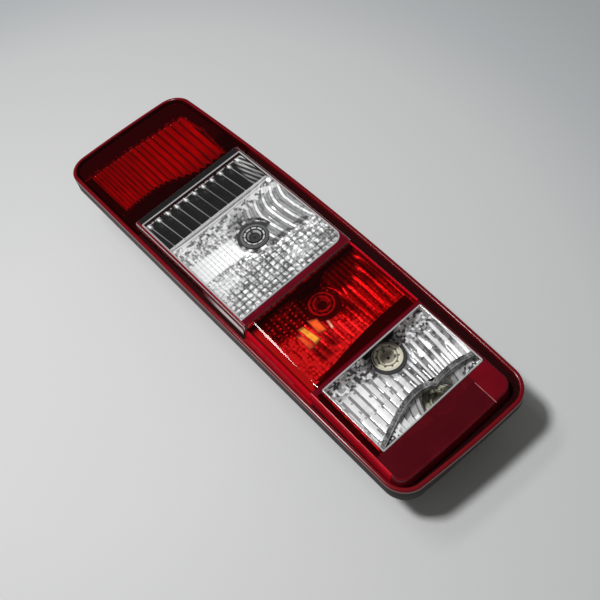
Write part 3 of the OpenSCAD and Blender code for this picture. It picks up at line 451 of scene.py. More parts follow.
# rim with a round outer edge, a small inner one, the groove floor and the skirt's inside
def makeLensFrame():
    look = lensLook
    deep = skirtEdge()
    r, small, w, t = look["rimRound"], 0.8, lens["rimW"], lens["wall"]
    arc = [(r - r * math.cos(a), -r + r * math.sin(a))
           for a in np.linspace(0, math.pi / 2, 6)]
    inner = [(w - small + small * math.sin(a), -small + small * math.cos(a))
             for a in np.linspace(0, math.pi / 2, 5)]
    floorH = -lens["grooveD"]
    parts = Parts()
    parts.add(sweep([(0.0, -look["redDepth"])] + arc + inner + [(w + 0.1, floorH + 0.4)]),
              0, closed=True)
    groove = sweep([(w + 0.1, floorH + 0.4), (w + 0.5, floorH),
                    (look["grooveInner"], floorH)])
    place = faceMiddles(np.vstack([groove, groove[:1]]))
    x0, x1 = look["redGroove"]
    beside = (place[..., 0] > x0) & (place[..., 0] < x1) & (place[..., 1] < 0)
    parts.add(groove, 2, keep=~beside, closed=True)
    parts.add(groove, 3, keep=beside, closed=True)
    parts.add(sweep([(t, floorH - t), (t, deep + 0.3), (t - 0.3, deep), (0.15, deep)]), 1,
              closed=True)
    return parts.make("lens_frame", [redRim, skirtDark, grooveBlack, grooveRed])


# outside of the skirt: a painted reflection of the floor makes it greyer on the outboard
# side, fading out towards the near end, and painted shade darkens it towards its lower edge
def makeSkirt():
    look = lensLook
    deep, top = skirtEdge(), -look["redDepth"]
    grid = sweep([(0.15, deep), (0.0, deep + 0.3), (0.0, top - 4.5), (0.0, top - 1.5),
                  (0.0, top)])
    side = fade(-62, -50, grid[..., 1])
    level = (side * fade(*look["fade"], grid[..., 0]))[..., None]
    tone = mixed(look["dark"], look["grey"], level)
    # painted shade: each row darker towards the skirt's lower edge
    tone = tone * np.array(look["rows"])[None, :, None]
    return addGrid("lens_skirt", grid, skirtFinish, closed=True, tone=tone)


standsFor(makeLensFrame(), "outer_lens")
standsFor(makeSkirt(), "outer_lens")

blockLook = dict(step=1.1, topCount=112, wallRows=10, sideRows=9, holeMargin=0.7,
                 endRound=(0.8, 0.7), litFrom=34.0, leftTo=204)


# section of a block as [y, h] from its left foot over to the right one: leaning walls,
# round shoulders and a level top
def blockSection(block):
    run = foot["lean"] / (block["top"] - foot["h"])
    lean = math.atan(run)
    legs = []
    for side, r, base in ((-1, block["left"], foot["left"]),
                          (1, block["right"], foot["right"])):
        cy = base - side * (run * (block["top"] - r - foot["h"]) + r / math.cos(lean))
        ch = block["top"] - r
        a = np.linspace(lean, math.pi / 2, 16 if r > 5 else 7)
        arc = np.stack([cy + side * r * np.cos(a), ch + r * np.sin(a)], axis=-1)
        wall = np.array([[base - side * run * (h - foot["h"]), h]
                         for h in (foot["h"], -4.5, -2.0)])
        legs.append(np.vstack([wall, arc])[::-side])
    left, right = legs
    across = np.linspace(left[-1, 0], right[0, 0], blockLook["topCount"])[1:-1]
    top = np.stack([across, np.full_like(across, block["top"])], axis=-1)
    return np.vstack([left, top, right])


def paneHole(x, y, window):
    margin = blockLook["holeMargin"]
    inside = ((x > window["x0"] + margin) & (x < window["x1"] - margin)
              & (y > window["y0"] + margin) & (y < window["y1"] - margin))
    r = window["corner"]
    cx, cy = window["x1"] - r, window["y1"] - r
    outside = (x > cx) & (y > cy) & (np.hypot(x - cx, y - cy) > r - margin)
    return inside & ~outside


# the section carried along the crown; walls and shoulders get the second material
def addBlock(parts, section, x0, x1, wallRows, window=None):
    xs = np.linspace(x0, x1, int((x1 - x0) / blockLook["step"]) + 2)
    grid = onCrown(xs[:, None], section[None, :, 0], section[None, :, 1])
    middle = faceMiddles(grid)
    keep = np.ones(middle.shape[:2], bool)
    if window:
        keep = ~paneHole(middle[..., 0], middle[..., 1], window)
    walls = np.zeros(keep.shape, bool)
    walls[:, :wallRows[0]] = True
    walls[:, -wallRows[1]:] = True
    parts.add(grid, 1, keep & walls, flip=True)
    parts.add(grid, 0, keep & ~walls, flip=True)


# block with both ends rounded off and closed downwards
def makeUpperBlock():
    b, rows = blocks["upper"], blockLook["wallRows"]
    farR, nearR = blockLook["endRound"]
    section = blockSection(b)
    parts = Parts()
    addBlock(parts, section, b["x0"] + farR, b["x1"] - nearR, (rows, rows),
             windows["upper"])
    for x, way, r in ((b["x0"], -1, farR), (b["x1"], 1, nearR)):
        edge = []
        for turn in np.linspace(0, math.pi / 2, 5):
            inset = r * (1 - math.cos(turn))
            shrunk = section.copy()
            shrunk[:, 1] -= inset * (section[:, 1] > -4)
            shrunk[:, 0] -= np.sign(section[:, 0]) * inset * (np.abs(section[:, 0]) > 50)
            edge.append(onCrown(x - way * r + way * r * math.sin(turn), *shrunk.T))
        edge.append(onCrown(x, shrunk[:, 0],
                            np.minimum(shrunk[:, 1], -0.5 if way < 0 else 5.0)))
        parts.add(np.stack(edge, axis=0), 1, flip=way > 0)
    return parts.make("upper_block", [redBorder, redWall])


def makeMiddleBlock():
    b = blocks["middle"]
    parts = Parts()
    addBlock(parts, blockSection(b), b["x0"], b["x1"],
             (blockLook["sideRows"], blockLook["wallRows"]))
    return parts.make("middle_block", [redClear, redSide])


# plan of the lower block from its left far foot round the near end, in three legs
def lowerPath(inset):
    b = blocks["lower"]
    r, cx, cy, _ = endArc("block")
    rc = b["corner"]
    legs = []
    for side, base in ((-1, foot["left"]), (1, foot["right"])):
        yc = base - side * rc
        xc = cx + math.sqrt((r - rc) ** 2 - (yc - cy) ** 2)
        line = np.linspace(b["x0"], xc, 84, endpoint=False)
        straight = np.stack([line, np.full_like(line, base - side * inset)], axis=-1)
        endAngle = math.atan2(yc - cy, xc - cx)
        arc = arcPoints(xc, yc, rc - inset, side * math.pi / 2, endAngle, 18)
        legs.append((straight, arc, endAngle))
    (s0, a0, e0), (s1, a1, e1) = legs
    a = np.linspace(e0, e1, 96)
    end = np.stack([cx + (r - inset) * np.cos(a), cy + (r - inset) * np.sin(a)], axis=-1)
    return s0, np.vstack([a0, end, a1[::-1]]), s1[::-1]


# walls and shoulders carried along the plan, and a top ruled from the far edge to it
def makeLowerBlock():
    b, window = blocks["lower"], windows["lower"]
    run = foot["lean"] / (b["top"] - foot["h"])
    r = b["left"]
    start = run * (b["top"] - r - foot["h"]) + r
    profile = [(0.0, foot["h"]), (run * 4.5, -4.5), (run * 7, -2.0)]
    profile += [(start - r * math.cos(t), b["top"] - r + r * math.sin(t))
                for t in np.linspace(math.atan(run), math.pi / 2, 7)]
    wall = np.stack([onCrown(*np.vstack(lowerPath(inset)).T, h) for inset, h in profile],
                    axis=1)
    place = faceMiddles(wall)
    # the outboard wall gets the lighter red of painted light
    outboard = (place[..., 1] < -50) & (place[..., 0] < blockLook["leftTo"])
    parts = Parts()
    parts.add(wall, 1, keep=~outboard)
    parts.add(wall, 5, keep=outboard)
    near = lowerPath(profile[-1][0])[1]
    t = np.linspace(0, 1, 110)
    x = b["x0"] + (near[:, 0][None, :] - b["x0"]) * t[:, None]
    y = np.broadcast_to(near[:, 1][None, :], x.shape)
    top = onCrown(x, y, b["top"])
    middle = faceMiddles(top)
    hole = paneHole(middle[..., 0], middle[..., 1], window)
    end = middle[..., 0] > window["x1"] - 0.8
    far = middle[..., 0] < window["x0"] + 0.8
    # right of the panel line the plain end gets the lighter red of painted light
    lit = middle[..., 1] > blockLook["litFrom"]
    for kind, part in ((0, ~end & ~far), (4, far), (2, end & ~lit), (3, end & lit)):
        parts.add(top, kind, ~hole & part)
    return parts.make("lower_block",
                      [redTop, redFoot, redPanel, redLit, redBorder, redLeft])


for piece in (makeUpperBlock(), makeMiddleBlock(), makeLowerBlock()):
    standsFor(piece, "outer_lens")

coverRings = [(3.55, -1.0), (3.9, -1.8), (4.7, -1.8), (5.2, -0.6), (5.8, -0.15),
              (7.0, -0.1)]


# places over the tail chamber: pairs of outline points, joined across the lamp
def tailPlan(inset, step):
    xy = outline(inset)
    xy = xy[xy[:, 0] < blocks["upper"]["x0"] + 1.5]
    half = (len(xy) + 1) // 2
    a, b = xy[:half], xy[::-1][:half]
    walk = np.append(0, np.cumsum(np.hypot(*np.diff(a, axis=0).T)))
    k = np.interp(np.arange(0, walk[-1], step), walk, np.arange(half))
    rows = [np.stack([np.interp(k, np.arange(half), side[:, c]) for c in (0, 1)], axis=-1)
            for side in (a, b)]
    s = np.linspace(0, 1, int(lens["width"] / step))[None, :, None]
    return mixed(rows[0][:, None], rows[1][:, None], s)


# smooth cover of the tail chamber, with a shallow groove inside the rim
def makeTailCover():
    part = np.nonzero(outline(0)[:, 0] < blocks["upper"]["x0"] + 1.5)[0]
    ring = sweep(coverRings)[part]
    inset, h = coverRings[-1]
    plan = tailPlan(inset, 2.0)
    parts = Parts()
    parts.add(ring)
    parts.add(onCrown(plan[..., 0], plan[..., 1], h))
    return parts.make("tail_cover", [tailCoverRed])


standsFor(makeTailCover(), "outer_lens")


print("stage: windows")
paneLook = dict(proud=0.8, border=1.5, corner=1.2, turnSteps=14, longest=3, sunk=0.2)


# plan of a window, clockwise from its far left corner, drawn in by a distance: four
# round corners, with the straight runs between them cut into short pieces
def panePath(window, inset):
    x0, x1 = window["x0"] + inset, window["x1"] - inset
    y0, y1 = window["y0"] + inset, window["y1"] - inset
    small = paneLook["corner"]
    legs = []
    for cx, cy, r, a0 in ((x0, y1, small, 180), (x1, y1, window["corner"], 90),
                          (x1, y0, small, 0), (x0, y0, small, -90)):
        r = max(r - inset, 0.2)
        ox = cx + r if cx == x0 else cx - r
        oy = cy - r if cy == y1 else cy + r
        a = np.radians(np.linspace(a0, a0 - 90, paneLook["turnSteps"]))
        legs.append(np.stack([ox + r * np.cos(a), oy + r * np.sin(a)], axis=-1))
    path = np.vstack(legs)
    run = np.roll(path, -1, axis=0) - path
    count = np.maximum(1, (np.hypot(*run.T) / paneLook["longest"]).astype(int))
    leg = np.repeat(np.arange(len(path)), count)
    share = (np.arange(len(leg)) - (np.cumsum(count) - count)[leg]) / count[leg]
    return path[leg] + run[leg] * share[:, None]


# rounded border carried round the window, and the sunk level glass inside it
def makePane(name, window):
    look = paneLook
    top, b = window["top"], look["border"]
    high, low = top + look["proud"], top + look["sunk"]
    profile = [(0.0, top - 1.5), (0.0, high - 0.4), (0.15, high - 0.1), (0.4, high),
               (b - 0.5, high), (b - 0.15, high - 0.15), (b, low)]
    count = len(panePath(window, 0.0))
    rows = []
    for inset, h in profile:
        path = panePath(window, inset)
        k = np.linspace(0, len(path), count, endpoint=False)
        path = np.vstack([path, path[:1]])
        x, y = [np.interp(k, np.arange(len(path)), path[:, c]) for c in (0, 1)]
        rows.append(onCrown(x, y, h))
    parts = Parts()
    parts.add(np.stack(rows, axis=1), 1, closed=True, flip=True)
    xs = np.linspace(window["x0"] + b, window["x1"] - b, 60)
    ys = np.linspace(window["y0"] + b, window["y1"] - b, 12)
    parts.add(onCrown(xs[:, None], ys[None, :], low))
    return parts.make(name, [clearPane, paneEdge])


standsFor(makePane("upper_pane", windows["upper"]), "upper_window")
standsFor(makePane("lower_pane", windows["lower"]), "lower_window")


print("stage: tail panel and strip")
tailLook = dict(
    view=[(-201.5, -61.0), (-200.5, -6.0), (-196.0, 49.5), (-163.0, 52.5), (-124.0, 48.5),
          (-123.5, 40.0), (-125.0, 17.0), (-137.5, -9.0), (-140.0, -22.0), (-140.0, -45.0),
          (-138.0, -61.0)],
    frameH=-2.6, drop=4.6, fall=0.1, pitchLeft=2.7, pitchRight=8.6, relief=1.2, step=0.52,
    jag=9.0, bright=0.36, brighterRight=0.14, red=(0.8, 0.006, 0.014),
    maroon=(0.021, 0.004, 0.006), glint=(0.25, 0.075, 0.075))


# running number of the rib at y, finer at the left than at the right
def ribPlace(y, look):
    left, right = look["view"][0][1], look["view"][2][1]
    p0, p1 = look["pitchLeft"], look["pitchRight"]
    t = np.clip((y - left) / (right - left), -0.5, 1.3)
    return (right - left) / (p1 - p0) * np.log1p(t * (p1 - p0) / p0)


# how far a place lies inside a field with many corners: the distance to its nearest side
def edgeDistance(x, y, corners):
    near, inside = np.full(np.shape(x), 1e9), np.zeros(np.shape(x), bool)
    for (ax, ay), (bx, by) in zip(corners, corners[1:] + corners[:1]):
        dx, dy = bx - ax, by - ay
        t = np.clip(((x - ax) * dx + (y - ay) * dy) / (dx * dx + dy * dy), 0, 1)
        near = np.minimum(near, np.hypot(x - ax - t * dx, y - ay - t * dy))
        inside ^= ((ay > y) != (by > y)) & (x < ax + (y - ay) * dx / (dy if dy else 1))
    return np.where(inside, near, -near)


# dark frame with a sunk field of round ribs, whose near ends are toothed. Each rib is
# painted lighter on one half with a dark line at its edge, painted shading of the round
# ribs; painted shade darkens the field and frame before the upper block, and painted glints
# lie along the field's edge
def makeTailPanel():
    look = tailLook
    plan = tailPlan(6.2, look["step"])
    x, y = plan[..., 0], plan[..., 1]
    rib = ribPlace(y, look)
    across = rib - np.floor(rib)
    hump = np.sqrt(np.clip(1 - (2 * across - 1) ** 2, 0, 1))
    jag = look["jag"] * (np.abs(across - 0.5) - 0.25)
    inside = edgeDistance(x + jag * smooth(-165, -145, x), y, look["view"])
    field = smooth(-0.4, 0.6, inside)
    left = look["view"][0]
    deep = -look["drop"] - look["fall"] * (x - left[0]) + look["relief"] * (hump - 1)
    h = mixed(look["frameH"], deep, field)
    right = smooth(-45, 30, y)
    # painted shading: each rib lighter on one half, with a dark line at its edge
    level = 0.5 + 0.5 * smooth(0.05, 0.5, across) - 0.6 * band(across, 0.03, 0.05, 0.1)
    level *= look["bright"] + look["brighterRight"] * right
    level *= 0.85 + 0.3 * lattice(np.floor(rib), 3, 5)
    level *= 0.8 + 0.4 * cloud(x * 0.3, y, 3.0, 7)
    fold = band(y, left[1] + 3.5, 3.0, 1.0)
    level = np.clip(level + 0.3 * fold, 0.05, 1.2)
    level *= 0.8 + 0.3 * smooth(-200, -150, x)
    # painted shade towards the upper block on the right and in the wedge before it
    level *= 1 - 0.45 * smooth(-160, -128, x) * right
    wedge = smooth(-150, -138, x) * (1 - field) * (x < -117)
    glint = (cloud(x * 1.3, y, 1.3, 17) > 0.8) * band(inside, -0.2, 0.7, 0.4)
    back = colored(1 - 0.7 * wedge, look["maroon"]) + colored(glint, look["glint"])
    tone = mixed(back, colored(level, look["red"]), field[..., None])
    return addGrid("tail_panel", onCrown(x, y, h), redBack, tone=tone)


standsFor(makeTailPanel(), "far_reflector", "far_bezel")

stripLook = dict(box=(-101.0, -63.6, -57.6, 51.0), steps=(100, 500), h=7.4, pitch=9.9,
                 first=-52.5, slant=3.0, lineHalf=0.33, ridge=0.5, black=0.009,
                 wedgeFrom=(41, 46), wedgeY=40.5)


# black plate with thin ridges at an even pitch: each ridge carries a painted highlight,
# brightest at its far end; painted highlights run along both ends of the plate, and painted
# reflection streaks fan out at the right
def makeStrip():
    look = stripLook
    x, y = boxGrid(look)
    along, _ = boxShare(look, x, y)
    bent = y - look["slant"] * (along - 0.5)
    n = np.floor((bent - look["first"]) / look["pitch"] + 0.5)
    off = bent - look["first"] - n * look["pitch"]
    line = np.exp(-(off / look["lineHalf"]) ** 2) * (0.35 + 0.5 * lattice(n, 1, 11)) \
        * (1 - 0.6 * along)
    vee = np.exp(-((np.abs(off) - 8.8 * (along - 0.05)) / 0.5) ** 2) \
        * band(along, 0.08, 0.06, 0.05)
    tip = np.exp(-(off / 1.4) ** 2) * band(along, 0.09, 0.02, 0.03)
    dash = band(along, 0.025, 0.012, 0.02) * (cloud(y, x, 1.7, 3) > 0.42)
    edge = band(along, 0.985, 0.012, 0.01)
    # painted reflection streaks fanning out at the right
    fan = ((bent - look["wedgeY"] - 8 * along) / 2.6) % 1.6 - 0.8
    wedge = smooth(*look["wedgeFrom"], y + 7 * along) * np.exp(-fan ** 2 / 0.12) \
        * (1 - along) ** 0.5
    tone = look["black"] + 0.004 * cloud(x, y, 9.0, 4) + 0.6 * line + 0.35 * vee \
        + 0.6 * tip + 0.5 * dash + 0.45 * edge + 0.55 * wedge
    h = look["h"] + look["ridge"] * np.exp(-(off / 0.6) ** 2)
    return addGrid("black_strip", onCrown(x, y, h), blackGloss, tone=np.clip(tone, 0, 0.95),
                   flip=True)


standsFor(makeStrip(), "strip_plate")

wallGlints = [
    dict(block="upper", box=(-14.0, 39.0, -2.5, 5.5), steps=(60, 9), end=0.6,
         color=(1.0, 0.92, 0.94), dull=(0.12, 0.005, 0.012)),
    dict(block="middle", box=(43.0, 99.0, -3.0, -2.3), steps=(60, 9), end=0.1,
         color=(0.6, 0.25, 0.25), dull=(0.12, 0.005, 0.012))]
panelLine = dict(box=(196.0, 217.5, 33.7, 34.25), steps=(40, 3), color=(0.4, 0.13, 0.13))


# painted highlight on the left wall of a red block, fading out at its edges
def makeWallGlint(look):
    run = foot["lean"] / (blocks[look["block"]]["top"] - foot["h"])
    x, h = boxGrid(look)
    along, across = boxShare(look, x, h)
    y = foot["left"] + run * (h - foot["h"]) - 0.04
    full = smooth(0, look["end"], along) * smooth(0, 0.3, across) \
        * smooth(0, 0.3, 1 - across) * (0.8 + 0.3 * cloud(x, h, 3.0, 131))
    tone = mixed(look["dull"], look["color"], full[..., None])
    return addGrid("wall_glint_" + look["block"], onCrown(x, y, h), glintFinish, tone=tone)


# painted highlight along the moulding line across the plain end of the lower block
def makePanelLine():
    look = panelLine
    x, y = boxGrid(look)
    tone = colored(0.5 + 0.5 * cloud(x, y, 2.0, 133), look["color"])
    return addGrid("panel_line", onCrown(x, y, blocks["lower"]["top"] + 0.05), glintFinish,
                   tone=tone)


for look in wallGlints:
    standsFor(makeWallGlint(look))
standsFor(makePanelLine())

print("stage: reflectors")
bowlPower = 4.0


# bowl from the height of its edge down to its middle, flatter in the middle
def bowl(x, y, look):
    u, v = [np.clip(np.abs(2 * share - 1), 0, 1) for share in boxShare(look, x, y)]
    return look["edge"] + (look["deep"] - look["edge"]) * (1 - u ** bowlPower) \
        * (1 - v ** bowlPower)


def fraction(t):
    return t - np.floor(t)


# round hump over each whole number
def dome(t):
    return np.sqrt(np.clip(1 - (1.9 * (fraction(t) - 0.5)) ** 2, 0, 1))


# one small bright spot, a painted glint, in each cell of a grid, at a random place
def spots(x, y, px, py, seed, size=0.3, stray=0.5):
    i, j = np.floor(x / px), np.floor(y / py)
    u, v = x / px - i - 0.5, y / py - j - 0.5
    du, dv = lattice(i, j, seed) - 0.5, lattice(i, j, seed + 1) - 0.5
    r = np.hypot((u - stray * du) / size, (v - stray * dv) * py / px / size)
    return np.clip(1.4 - r, 0, 1) * (0.35 + 0.65 * lattice(i, j, seed + 2))


# rings are [radius, lightness]; the reflectors stay open inside socketHole
socketHole = 13.2
sockets = dict(
    upper=dict(
        x=-37.0, y=9.5, top=-15.1, color=(0.9, 0.9, 0.92), ribs=0.05, pin=False,
        rings=[(0, 0.015), (4.7, 0.025), (5.0, 0.004), (5.3, 0.5), (6.2, 0.45),
               (6.4, 0.003), (7.9, 0.003), (8.1, 0.65), (9.3, 0.5), (9.6, 0.003),
               (10.3, 0.003), (10.6, 0.2), (11.2, 0.15), (11.4, 0.003), (13.6, 0.003)]),
    middle=dict(
        x=56.2, y=4.5, top=-15.1, color=(0.9, 0.5, 0.5), ribs=0, pin=False,
        rings=[(0, 0.02), (4.2, 0.03), (5.0, 0.32), (7.4, 0.45), (7.8, 0.1), (9.6, 0.12),
               (10.2, 0.5), (11.4, 0.4), (11.8, 0.05), (13.6, 0.03)]),
    lower=dict(
        x=127.8, y=9.0, top=-14.1, color=(0.74, 0.7, 0.56), ribs=0, pin=True,
        rings=[(0, 0.3), (2.0, 0.36), (4.6, 0.42), (6.0, 0.55), (6.4, 1.0), (7.6, 0.9),
               (7.9, 0.3), (8.6, 0.4), (9.0, 1.0), (10.8, 0.9), (11.1, 0.3),
               (11.4, 0.008), (13.6, 0.008)]),
    fog=dict(
        x=180.6, y=12.9, top=-17.1, color=(0.66, 0.66, 0.5), ribs=0, pin=True,
        rings=[(0, 0.1), (3.6, 0.25), (5.6, 0.4), (6.0, 0.6), (7.3, 0.6), (7.6, 0.25),
               (8.2, 0.3), (8.8, 0.6), (12.6, 0.55), (13.0, 0.2), (13.6, 0.1)]))


# front face of a bulb holder: rings, key slots and the mouth of the bore. The slots, key
# ways and the contact hole are darkened, painted shade in these recesses.
def makeSocketFace(which):
    look = sockets[which]
    rings = np.array(look["rings"])
    r = np.linspace(0.01, 13.5, 70)[None, :]
    a = np.linspace(0, 2 * math.pi, 121)[:, None]
    turn = a / (2 * math.pi)
    slot = (np.abs(turn * 10 % 1 - 0.5) < 0.15) * (np.abs(r - 9.0) < 0.9)
    key = (np.abs(turn * 3 % 1 - 0.4) < 0.12) * (np.abs(r - 6.2) < 1.2)
    rib = (np.sin(a * 22) > 0.3) * (r < 4.2) * (r > 1.2)
    tone = np.interp(r, rings[:, 0], rings[:, 1]) * (1 - 0.8 * slot) * (1 - 0.75 * key) \
        + look["ribs"] * rib
    pin = np.hypot(r * np.cos(a) - 0.8, r * np.sin(a) - 0.2) < 1.3
    tone = np.where(pin & look["pin"], 0.02, tone)
    bore = fade(4.6, 6.2, r)
    h = look["top"] - 2.2 * bore + 0.5 * band(r, 7.0, 0.7, 0.3) \
        + 0.4 * band(r, 10.0, 0.8, 0.3) - 0.6 * slot - 0.9 * smooth(11.4, 12.0, r)
    grid = onCrown(look["x"] + r * np.cos(a), look["y"] + r * np.sin(a), h)
    return addGrid("socket_face_" + which, grid, socketFinish,
                   tone=colored(tone, look["color"]))


for which in sockets:
    standsFor(makeSocketFace(which))

lampLight = dict(toward=(-0.28, -0.28, 0.92), fill=0.3, least=0.55, most=2.2)
patternApex = (385.0, -193.0, 686.0)


def around(x, y, centre):
    cx, cy = centre
    return np.hypot(x - cx, y - cy), np.arctan2(y - cy, x - cx)


def middleOf(which):
    return sockets[which]["x"], sockets[which]["y"]


# painted light that cancels the lamp's shading of the bowl: the tone is raised where the
# slope turns from the lamp and lowered where it faces it, so a pattern keeps its own
# contrast
def evened(tone, x, y, h):
    lx, ly, lz = lampLight["toward"]
    z = rimAt(x) + h
    dx = np.gradient(z, axis=0) / np.gradient(x, axis=0)
    dy = np.gradient(z, axis=1) / np.gradient(y, axis=1)
    facing = np.clip(lz - dx * lx - dy * ly, 0, None) / np.sqrt(1 + dx * dx + dy * dy)
    shade = (lampLight["fill"] + facing) / (lampLight["fill"] + lz)
    return tone / np.clip(shade, lampLight["least"], lampLight["most"])


# places of a level sheet whose pattern is carried down to the bowl along lines from one
# apex, so the cells stay even where the bowl turns up
def drawnOn(level, x, y, h):
    ax, ay, az = patternApex
    rim = rimAt(x)
    t = (az - rim - level) / (az - rim - h)
    return ax + (x - ax) * t, ay + (y - ay) * t


# the reflector is flat round its socket
def seated(h, r, which):
    return mixed(h, sockets[which]["top"] - 0.9, fade(16.5, 23, r))


# oval spot, 1 in its middle
def softSpot(x, y, spot):
    u, v = (x - spot["x"]) / spot["rx"], (y - spot["y"]) / spot["ry"]
    return np.exp(-(u * u + v * v))


upperLook = dict(
    box=(-63.4, 36.4, -59.0, 52.4), steps=(300, 340), edge=7.0, deep=-18.5, level=-14.0,
    centre=(-37.5, 9.0), pillowX=5.4, pillowY=5.8, fineY=3.7, wideY=9.2, wideFrom=-46,
    streaks=[dict(x=-37, lean=0.05, half=9.5, soft=3.0, y0=(-56, -48), y1=(-10, -4),
                  gain=1.0),
             dict(x=-16, lean=0, half=4.0, soft=6.0, y0=(-52, -46), y1=(-30, -24),
                  gain=0.5)],
    pale=dict(x=4, y=24, rx=7, ry=8, gain=0.75, tone=0.8), gain=0.86, least=0.02, most=1.15)


# pillows: a far left facet painted bright as if lit, a grey near one, a painted glint and a
# dark seam of painted shade
def pillowTone(x, y, look):
    px, py = x / look["pillowX"], y / look["pillowY"]
    fx, fy = fraction(px), fraction(py)
    cell = lattice(np.floor(px), np.floor(py), 21)
    seam = np.minimum(np.minimum(fx, 1 - fx) * look["pillowX"],
                      np.minimum(fy, 1 - fy) * look["pillowY"])
    lit = (fx < 0.35 + 0.35 * cell) * (fy < 0.75)
    tone = 0.2 + 0.2 * cell + (0.22 + 0.3 * cell) * lit \
        + 0.9 * spots(x, y, look["pillowX"], look["pillowY"], 31, 0.26)
    tone *= 1 - 0.85 * band(seam, 0, 0.25, 0.2) * (0.4 + 0.6 * (cloud(x, y, 4.0, 34) > 0.4))
    return tone * (0.75 + 0.5 * cloud(x, y, 9.0, 32)), seam


# broad flutes right of the socket, bent towards the side, each with a painted highlight
# along its crest
def fluteTone(x, y, row):
    f = fraction(row)
    tone = 0.24 + 0.3 * smooth(0.05, 0.4, f) - 0.26 * smooth(0.7, 0.95, f)
    tone = mixed(tone, 1.2, fade(0.1, 0.16, np.abs(f - 0.5)))
    tone *= (1 - 0.75 * band(f, 0.32, 0.02, 0.03)) * (1 - 0.6 * band(f, 0.7, 0.03, 0.04))
    tone *= 1 - 0.7 * band(x, -18, 2.5, 2.0) * (cloud(x, y, 3.5, 15) > 0.45)
    return tone * (0.75 + 0.4 * (cloud(x, y * 2, 4.0, 8) > 0.4))


# fine flutes left of the socket, with painted glare streaks across them
def fineTone(x, y, look, glare):
    row = y / look["fineY"]
    tone = 0.22 + 0.4 * (cloud(x, y * 2.2, 3.2, 9) > 0.5) \
        + 0.12 * lattice(np.floor(row), 2, 41) + 0.5 * spots(x, y, 4.4, look["fineY"], 42)
    return mixed(tone, 1.25, glare) * (1 - 0.55 * band(fraction(row), 0.06, 0.06, 0.06))


def streakField(x, y, streaks):
    fields = [s["gain"] * band(x, s["x"] + s["lean"] * y, s["half"], s["soft"])
              * fade(*s["y1"], y) * smooth(*s["y0"], y) for s in streaks]
    return np.maximum(*fields)


# bowl of pillows; flutes lie to the right of the socket, fine rows to its left and broken
# facets round it. Their lightness is painted reflection, with a painted shadow beside the
# socket
def makeUpperReflector():
    look = upperLook
    flatX, flatY = boxGrid(look)
    flatR, _ = around(flatX, flatY, middleOf("upper"))
    h = seated(bowl(flatX, flatY, look), flatR, "upper")
    x, y = drawnOn(look["level"], flatX, flatY, h)
    r, turn = around(x, y, look["centre"])
    pillows, seam = pillowTone(x, y, look)
    away = x - look["wideFrom"]
    row = (y - np.where(away < 0, 0.017, 0.0045) * away ** 2 - 18.0) / look["wideY"] + 0.5
    rightPart = smooth(13, 15, y + 0.1 * away) * fade(-17, -14, x)
    leftPart = fade(-8, -4, y) * fade(-10, -2, x + 0.35 * (y + 30))
    beside = smooth(-17, -13, x) * fade(8, 16, x) * smooth(26, 34, y)
    broken = (0.35 + 0.75 * (cloud(x, y, 2.4, 33) > 0.5)) \
        * (1 - 0.6 * band(seam, 0, 0.35, 0.3))
    glare = streakField(x, y, look["streaks"])
    facets = cloud(x, y, 3.0, 12)
    mosaic = 0.08 + 0.35 * (facets > 0.45) + 0.6 * (facets > 0.68) \
        + 0.4 * spots(x, y, 4.0, 4.0, 51, 0.35)
    tone = mixed(pillows, broken, beside)
    tone = mixed(tone, fluteTone(x, y, row), rightPart)
    tone = mixed(tone, fineTone(x, y, look, glare), leftPart)
    nearSocket = fade(19, 25, r) * (1 - rightPart) * (1 - 0.8 * leftPart)
    tone = mixed(tone, mosaic, nearSocket)
    shadow = (r < 19) & (np.abs(np.angle(np.exp(1j * (turn - 2.2)))) < 0.7)
    tone = np.where(shadow, 0.03 + 0.12 * (facets > 0.6), tone)
    pale = look["pale"]
    tone = mixed(tone, pale["tone"], pale["gain"] * softSpot(x, y, pale))
    farRow = 0.7 * fade(-66, -60, x)
    tone = mixed(tone, 0.1 + 0.9 * (cloud(x, y, 2.6, 14) > 0.45), farRow)
    # fine speckle of the painted reflection, left out where flutes and glare are plain
    speckle = cloud(x, y, 1.5, 16)
    plain = np.maximum(0.8 * rightPart, glare)
    tone *= mixed(0.78 + 0.45 * (speckle > 0.45) - 0.3 * (speckle < 0.2), 1, plain)
    # bar beside the strip, and painted shade in the near right corner and along the near
    # edge
    x, y = flatX, flatY
    lines = 0.22 + 0.5 * band(x, -61.6, 0.3, 0.3) + 0.4 * band(x, -63.2, 0.25, 0.3)
    tone = mixed(tone, lines, fade(-61.2, -60.6, x))
    tone *= 1 - 0.35 * smooth(5, 20, x) * smooth(-5, 20, y)
    tone *= 1 - 0.85 * smooth(33.6, 34.4, x)
    tone = np.clip(look["gain"] * evened(tone, x, y, h), look["least"], look["most"])
    px, py = drawnOn(look["level"], x, y, h)
    pillow = 0.7 * dome(px / look["pillowX"]) * dome(py / look["pillowY"])
    h = h + mixed(pillow, 0.9 * dome(row), rightPart) * smooth(16, 21, flatR)
    return addGrid("upper_reflector_skin", onCrown(x, y, h), chrome, flip=True, tone=tone,
                   keep=faceMiddles(flatR) > socketHole, smoothAngle=50)


standsFor(makeUpperReflector(), "upper_reflector", "window_bar")

middleLook = dict(
    box=(41.8, 118.0, -56.0, 55.0), steps=(220, 320), edge=-3.0, deep=-16.0, level=-10.0,
    pitch=7.0, bead=3.9, beadY=5.6, fineY=4.6, shade=dict(x=79, y=16, rx=9, ry=10),
    gain=1.15)
